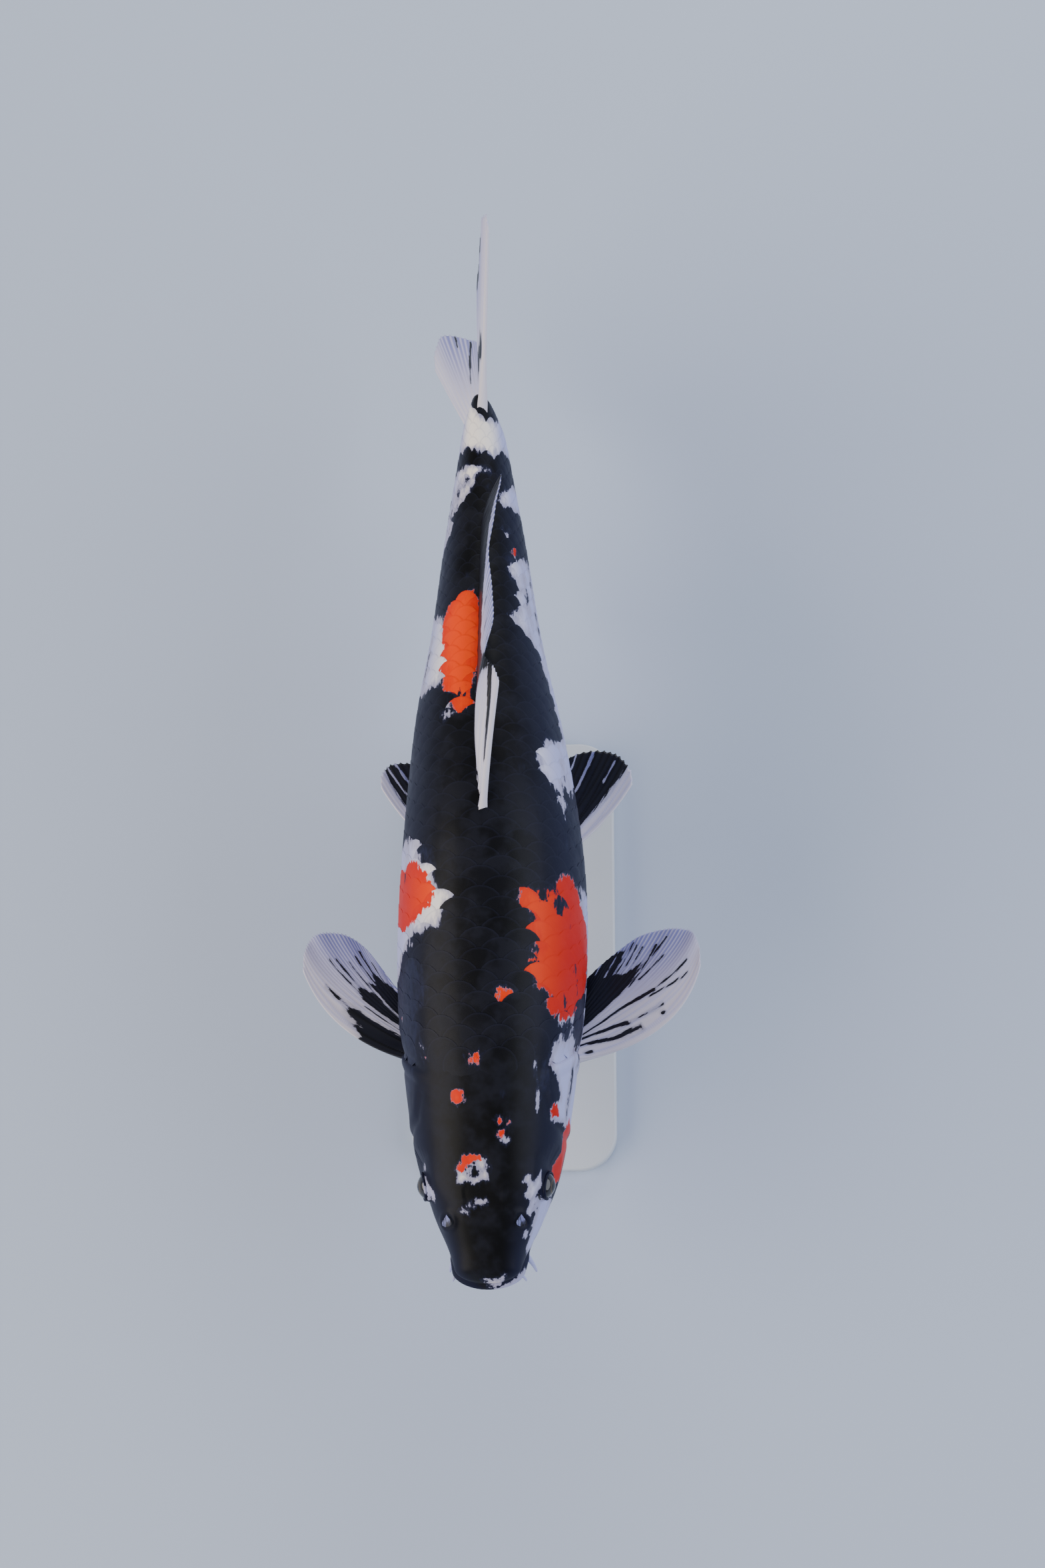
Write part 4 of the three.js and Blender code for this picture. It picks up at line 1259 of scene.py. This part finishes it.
# %% Each fin
def fin_piece(name, plan):
    add_grid = bpy.ops.mesh.primitive_grid_add
    fin = new_piece(add_grid, x_subdivisions=plan["rays"] * 8, y_subdivisions=plan["rows"], size=1)
    r, v = read_points(fin)[:, :2].T + 0.5
    lead = 1 - r if plan.get("leading_last") else r
    ray, reach = rays_and_reach(plan, lead, v)
    guides = fin_guides(plan)
    u = r + FAN_SHIFT(r) * (1 - v) ** 1.2 if plan.get("fanned") else r
    wave = np.sin(r * 13 + v * 2.2) + 0.6 * np.sin(r * 29 - v * 3 + 1)
    rippled = (plan["ripple"] * 0.6 * wave * v**2)[:, None]
    normal = sheet_normal(guides, u, np.clip(reach, 0.02, 0.98))
    write_points(fin, to_model(sheet_point(guides, u, reach) + normal * rippled))
    group = fin.vertex_groups.new(name="thickness")
    for vertex, share in enumerate(fin_thickness(plan, lead, v, ray) / THICKEST):
        group.add([vertex], float(share), "REPLACE")
    steps = np.linspace(0, 1, 50)
    width = line_length(sheet_point(guides, steps, np.full(50, 0.7)))
    length = line_length(sheet_point(guides, np.full(50, 0.4), steps))
    store(fin, dark=fin_marks(plan, r, v, width, length), ray=ray, fin_across=r * width,
          fin_out=v * length, outward=ease(0.3, 1, v) * ease(0, 0.4, lead))
    bpy.ops.object.modifier_add(type="SOLIDIFY")
    wall = fin.modifiers[-1]
    wall.thickness = THICKEST / 1000
    wall.offset = 0
    wall.vertex_group = group.name
    bpy.ops.object.modifier_apply(modifier=wall.name)
    finish_piece(fin, name + "_rayed", FIN_SKIN)
    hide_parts(name)


for fin_name, fin_plan in FINS.items():
    fin_piece(fin_name, fin_plan)

# %% [markdown]
# ## Eyes
# A carp's eye is a ball sunk in the side of the head, with a slightly bulging clear
# front, a black pupil, a thin gold ring round it and a dark iris. Its markings are rings
# round the line it looks along, so each point keeps its angle from that line and the
# material turns the angle into colour. The lids are a low ring of skin round the ball.

# %% Finish of the eyes
WIDEST_ANGLE = 90.0  # degrees from the line that the eye looks along
EYE_RINGS = [
    (0.0, "#020203"), (0.245, "#050506"), (0.262, "#5a4726"), (0.285, "#2e2922"),
    (0.33, "#17151a"), (0.52, "#101016"), (0.62, "#1d1e28"), (0.8, "#101018"),
]


def eye_finish(name):
    """A clear wet cornea over a flecked iris: one sharp highlight."""
    material, tree = start_material(name)
    off_axis = add_node(tree, "Attribute", (), "Fac", attribute_name="off_axis")
    place = add_node(tree, "TexCoord", (), "Object")
    flecks = {"Vector": place, "Scale": 900.0, "Detail": 3.0}
    flecks = add_node(tree, "TexNoise", flecks, "Fac")
    wobble = add_node(tree, "Math", [flecks, 3.0, off_axis], operation="MULTIPLY_ADD")
    rings = add_node(tree, "MapRange", [wobble, 0, WIDEST_ANGLE])
    iris = add_node(tree, "ValToRGB", [rings])
    elements = iris.node.color_ramp.elements
    while len(elements) < len(EYE_RINGS):
        elements.new(0.5)
    for element, (position, shade) in zip(elements, EYE_RINGS):
        element.position = position
        element.color = colour(shade)
    return end_material(material, {
        "Base Color": iris, "Roughness": 0.12, "IOR": 1.4, "Specular IOR Level": 0.5,
        "Coat Weight": 0.5, "Coat Roughness": 0.08,
    })


EYE_GLOSS = eye_finish("wet_eye")

# %% Eyeballs and lids
CORNEA_BULGE, CORNEA_REACH = 0.5, 0.45  # mm, and radians from the line that it looks along
LID_RING = {"major_radius": 7.15, "minor_radius": 0.75, "major_segments": 96, "minor_segments": 16}
LID_STRETCH = [1, 1, 1.25]
LID_PLACE = [0, 0, 5.75]  # mm out from the eye's middle


def frame_towards(axis):
    """Three unit vectors as rows, the last along the axis."""
    aside = np.cross([0, 0, 1], axis)
    aside = aside / np.linalg.norm(aside)
    return np.array([aside, np.cross(axis, aside), axis])


for side, side_name in SIDES:
    turned = frame_towards(eye_axis(side))
    eyeball, down, angle = new_sphere(segments=64, rings=48)
    radius = EYE_RADIUS + CORNEA_BULGE * hump(down * math.pi, CORNEA_REACH)
    ball = read_points(eyeball) * radius[:, None]
    write_points(eyeball, to_model(eye_middle(side) + ball @ turned))
    store(eyeball, off_axis=down * 180)
    finish_piece(eyeball, "eyeball_" + side_name, EYE_GLOSS)
    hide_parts("eye_" + side_name)

    lids = new_piece(bpy.ops.mesh.primitive_torus_add, **LID_RING)
    ring = read_points(lids) * LID_STRETCH + LID_PLACE
    ring = eye_middle(side) + ring @ turned
    write_points(lids, to_model(ring))
    store_pattern(lids, ring, whiter=-3)
    finish_piece(lids, "eye_rim_" + side_name, SKIN)

# %% [markdown]
# ## Nostrils and feelers
# In front of each eye a koi has a pair of nostrils with a pale flap of skin between
# them. It has two soft feelers at each side of the mouth. The small one hangs from the
# upper lip and the larger one from the corner. Each is a sphere pulled out along a bowed
# line: its poles become the buried root and the rounded tip.

# %% A bowed soft piece along a line
def bowed_piece(start, bow, end, radii):
    """A sphere pulled out along a bowed line; radii are stations (share, mm)."""
    piece, down, angle = new_sphere(segments=20, rings=44)
    t = down[:, None]
    line = (1 - t) ** 2 * start + 2 * t * (1 - t) * bow + t * t * end
    forward = 2 * (1 - t) * (bow - start) + 2 * t * (end - bow)
    forward = forward / np.linalg.norm(forward, axis=1, keepdims=True)
    one = np.cross([0.0, 0.0, 1.0], forward)
    one = one / np.linalg.norm(one, axis=1, keepdims=True)
    two = np.cross(forward, one)
    shares, sizes = zip(*radii)
    rounded = np.sqrt(np.clip(1 - (2 * down - 1) ** 12, 0, 1))  # at both ends
    thick = law(shares, sizes)(down) * rounded
    ring = one * np.cos(angle)[:, None] + two * np.sin(angle)[:, None]
    points = line + ring * thick[:, None]
    write_points(piece, to_model(points))
    return piece, points


BARBELS = {
    # root and tip (along, across, up), and radius
    "front": ((9, 15, -9), (4.5, 20, -18), 1.2),
    "rear": ((19, 18.5, -22), (11, 24, -36), 1.6),
}
TAPER = [(0, 1.25), (0.15, 1.05), (0.6, 0.66), (1, 0.4)]
BOW_PLACE, BOW_OUT, BOW_UP = 0.45, 1.6, 0.6  # share of the way out, and mm off the straight line
print(2 * len(BARBELS), "feelers")

# %% Feelers
for pair, (barbel_root, barbel_tip, barbel_radius) in BARBELS.items():
    for side, side_name in SIDES:
        start, end = (np.array([sway(along) + side * across, along, up])
                      for along, across, up in (barbel_root, barbel_tip))
        bow = start + (end - start) * BOW_PLACE + [side * BOW_OUT, 0, BOW_UP]
        radii = [(share, barbel_radius * size) for share, size in TAPER]
        feeler, points = bowed_piece(start, bow, end, radii)
        store_pattern(feeler, points, whiter=1.5)
        finish_piece(feeler, f"feeler_{pair}_{side_name}", SKIN)
        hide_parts(f"barbel_{pair}_{side_name}")

# %% Nostril flaps
FLAP_SIZE = [3.6, 3, 0.4]  # mm from its middle
FLAP_TILT, FLAP_LEAN = math.tan(math.radians(28)), math.tan(math.radians(-24))
FLAP_RISE = 0.9
NEAR_SKIN = 14.0  # mm over the axis, where the skin lies at the nostrils

for side, side_name in SIDES:
    middle = float(sway(NOSTRIL_ALONG)) + side * NOSTRIL_ACROSS
    foot = np.array([[middle, NOSTRIL_ALONG, NEAR_SKIN]])
    level = skin_at(NOSTRIL_ALONG, turn_of(foot))[..., 2].item()
    flap, down, angle = new_sphere(segments=32, rings=24)
    leaf = read_points(flap) * FLAP_SIZE
    leaf[:, 0] *= 0.62 - 0.16 * leaf[:, 1]
    x, y, z = leaf.T
    rise = z + 0.13 * x**2 + 0.05 * y**2 + y * FLAP_TILT + x * FLAP_LEAN * side
    points = np.stack([x + middle, y + NOSTRIL_ALONG, rise + level + FLAP_RISE], -1)
    write_points(flap, to_model(points))
    # outward at 1 gives the whole flap the fins' painted blue light
    store(flap, dark=-0.05 - 0.14 * y, ray=y * 0, fin_across=x, fin_out=y, outward=y * 0 + 1)
    finish_piece(flap, "nostril_flap_" + side_name, FIN_SKIN)

# %% [markdown]
# ## Stand
# The stand is a satin painted board with two brushed steel rods that end in the belly,
# each with a collar where it meets the board. A cube and cylinders are enough, with
# bevels cut in edit mode, because on real ones every edge is broken and catches light.

# %% Board paint
def painted_board(name):
    """Off-white satin paint: a faint orange-peel texture, 1.5 mm across."""
    material, tree = start_material(name)
    place = add_node(tree, "TexCoord", (), "Object")
    peel = add_node(tree, "TexNoise", {"Vector": place, "Scale": 650.0, "Detail": 2.0}, "Fac")
    wear = add_node(tree, "TexNoise", {"Vector": place, "Scale": 14.0, "Detail": 4.0}, "Fac")
    tone = {0: wear, 6: colour("#c4c9cf"), 7: colour("#bcc1c7")}
    return end_material(material, {
        "Base Color": add_node(tree, "Mix", tone, 2, data_type="RGBA"),
        "Roughness": add_node(tree, "MapRange", [wear, 0, 1, 0.36, 0.46]),
        "IOR": 1.5, "Specular IOR Level": 0.4,
    }, peel, strength=0.12)


BOARD_PAINT = painted_board("satin_board_paint")

# %% Rod steel
def brushed_steel(name):
    """Steel rod drawn lengthwise: fine scratches that run up and down."""
    material, tree = start_material(name)
    place = add_node(tree, "TexCoord", (), "Object")
    drawn = add_node(tree, "Mapping", {"Vector": place, "Scale": (2200, 2200, 60)})
    grain = add_node(tree, "TexNoise", {"Vector": drawn, "Detail": 3.0}, "Fac")
    return end_material(material, {
        "Base Color": colour("#b9bbbd"), "Metallic": 1.0, "Anisotropic": 0.4,
        "Roughness": add_node(tree, "MapRange", [grain, 0, 1, 0.24, 0.42]),
    }, grain, strength=0.08, distance=0.00005)


ROD_STEEL = brushed_steel("brushed_steel_rod")

# %% The board
CORNER_RADIUS = 0.022
BOARD_EDGE = 0.0016
SMOOTH_UNDER = math.radians(30)


def bevel_edges(piece, chosen, offset, segments):
    """Bevels the edges whose two ends pass a test."""
    bpy.ops.object.mode_set(mode="EDIT")
    bpy.ops.mesh.select_mode(type="EDGE")
    bpy.ops.mesh.select_all(action="DESELECT")
    bpy.ops.object.mode_set(mode="OBJECT")
    for edge in piece.data.edges:
        edge.select = chosen(*(piece.data.vertices[i].co.z for i in edge.vertices))
    bpy.ops.object.mode_set(mode="EDIT")
    bpy.ops.mesh.bevel(offset=offset, segments=segments)
    bpy.ops.object.mode_set(mode="OBJECT")


board = new_piece(bpy.ops.mesh.primitive_cube_add, size=1)
board.scale = base_high - base_low
board.location = base_middle
bpy.ops.object.transform_apply(location=True, rotation=True, scale=True)
bevel_edges(board, lambda one, two: abs(one - two) > 0.005, CORNER_RADIUS, 16)
bevel_edges(board, lambda one, two: abs(one - two) < 1e-6, BOARD_EDGE, 4)
bpy.ops.object.shade_smooth_by_angle(angle=SMOOTH_UNDER)
finish_piece(board, "stand_board", BOARD_PAINT)
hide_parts("stand_base")

# %% The rods and their collars
ROD_RADIUS = 0.004
COLLAR_HEIGHT = 0.005
COLLAR_FOOT, COLLAR_TOP = 0.009, 0.007
ROD_EDGE, COLLAR_EDGE = 0.001, 0.0008

for rod_name in ("stand_rod_front", "stand_rod_rear"):
    low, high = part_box(rod_name)
    middle = (low + high) / 2
    rod = new_piece(bpy.ops.mesh.primitive_cylinder_add, vertices=64, radius=ROD_RADIUS,
                    depth=high.z - low.z, location=middle)
    bevel_edges(rod, lambda one, two: min(one, two) > high.z - 1e-5, ROD_EDGE, 4)
    foot = (middle.x, middle.y, low.z + COLLAR_HEIGHT / 2)
    collar = new_piece(bpy.ops.mesh.primitive_cone_add, vertices=64, radius1=COLLAR_FOOT,
                       radius2=COLLAR_TOP, depth=COLLAR_HEIGHT, location=foot)
    top = low.z + COLLAR_HEIGHT - 0.0001
    bevel_edges(collar, lambda one, two: min(one, two) > top, COLLAR_EDGE, 4)
    rod.select_set(True)
    bpy.context.view_layer.objects.active = rod
    bpy.ops.object.join()
    bpy.ops.object.shade_smooth_by_angle(angle=SMOOTH_UNDER)
    finish_piece(rod, rod_name + "_turned", ROD_STEEL)
    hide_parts(rod_name)

# %% [markdown]
# ## Studio
# A pale matt floor with no pattern lets the shadows show where the fish hangs. Three
# large lamps stand in for a north window, a reflector and a weak light from behind, so
# that the highlights on the wet skin are long and soft.

# %% Floor and sky
floor = new_piece(bpy.ops.mesh.primitive_plane_add, size=16)
floor.name = "studio_floor"
pale_floor, _ = start_material("pale_floor")
floor.data.materials.append(end_material(pale_floor, {
    "Base Color": colour("#b4bfd2"), "Roughness": 0.8, "Specular IOR Level": 0.2,
}))

world = bpy.data.worlds.new("studio")
world.use_nodes = True
sky = world.node_tree.nodes["Background"].inputs
sky["Color"].default_value = colour("#dfe6f6")
sky["Strength"].default_value = 0.42
bpy.context.scene.world = world

# %% Lights
AIM = Vector((0, 0, 0.12))
LAMPS = {
    # place, size, power in watts, and colour
    "key": ((-1.9, -0.9, 1.3), (2.8, 2.0), 78, "#fff6ea"),
    "fill": ((1.9, -0.3, 1.1), (2.6, 1.8), 44, "#eef3ff"),
    "back": ((0.3, 2.0, 1.0), (1.6, 0.7), 26, "#ffffff"),
}
for lamp_name, (place, size, power, tint) in LAMPS.items():
    lamp_data = bpy.data.lights.new(lamp_name, "AREA")
    lamp_data.shape = "RECTANGLE"
    lamp_data.size, lamp_data.size_y = size
    lamp_data.energy = power
    lamp_data.color = colour(tint)[:3]
    lamp = bpy.data.objects.new(lamp_name, lamp_data)
    lamp.location = place
    lamp.rotation_euler = (AIM - lamp.location).to_track_quat("-Z", "Y").to_euler()
    bpy.context.scene.collection.objects.link(lamp)
    print(lamp_name, "light of", power, "W")
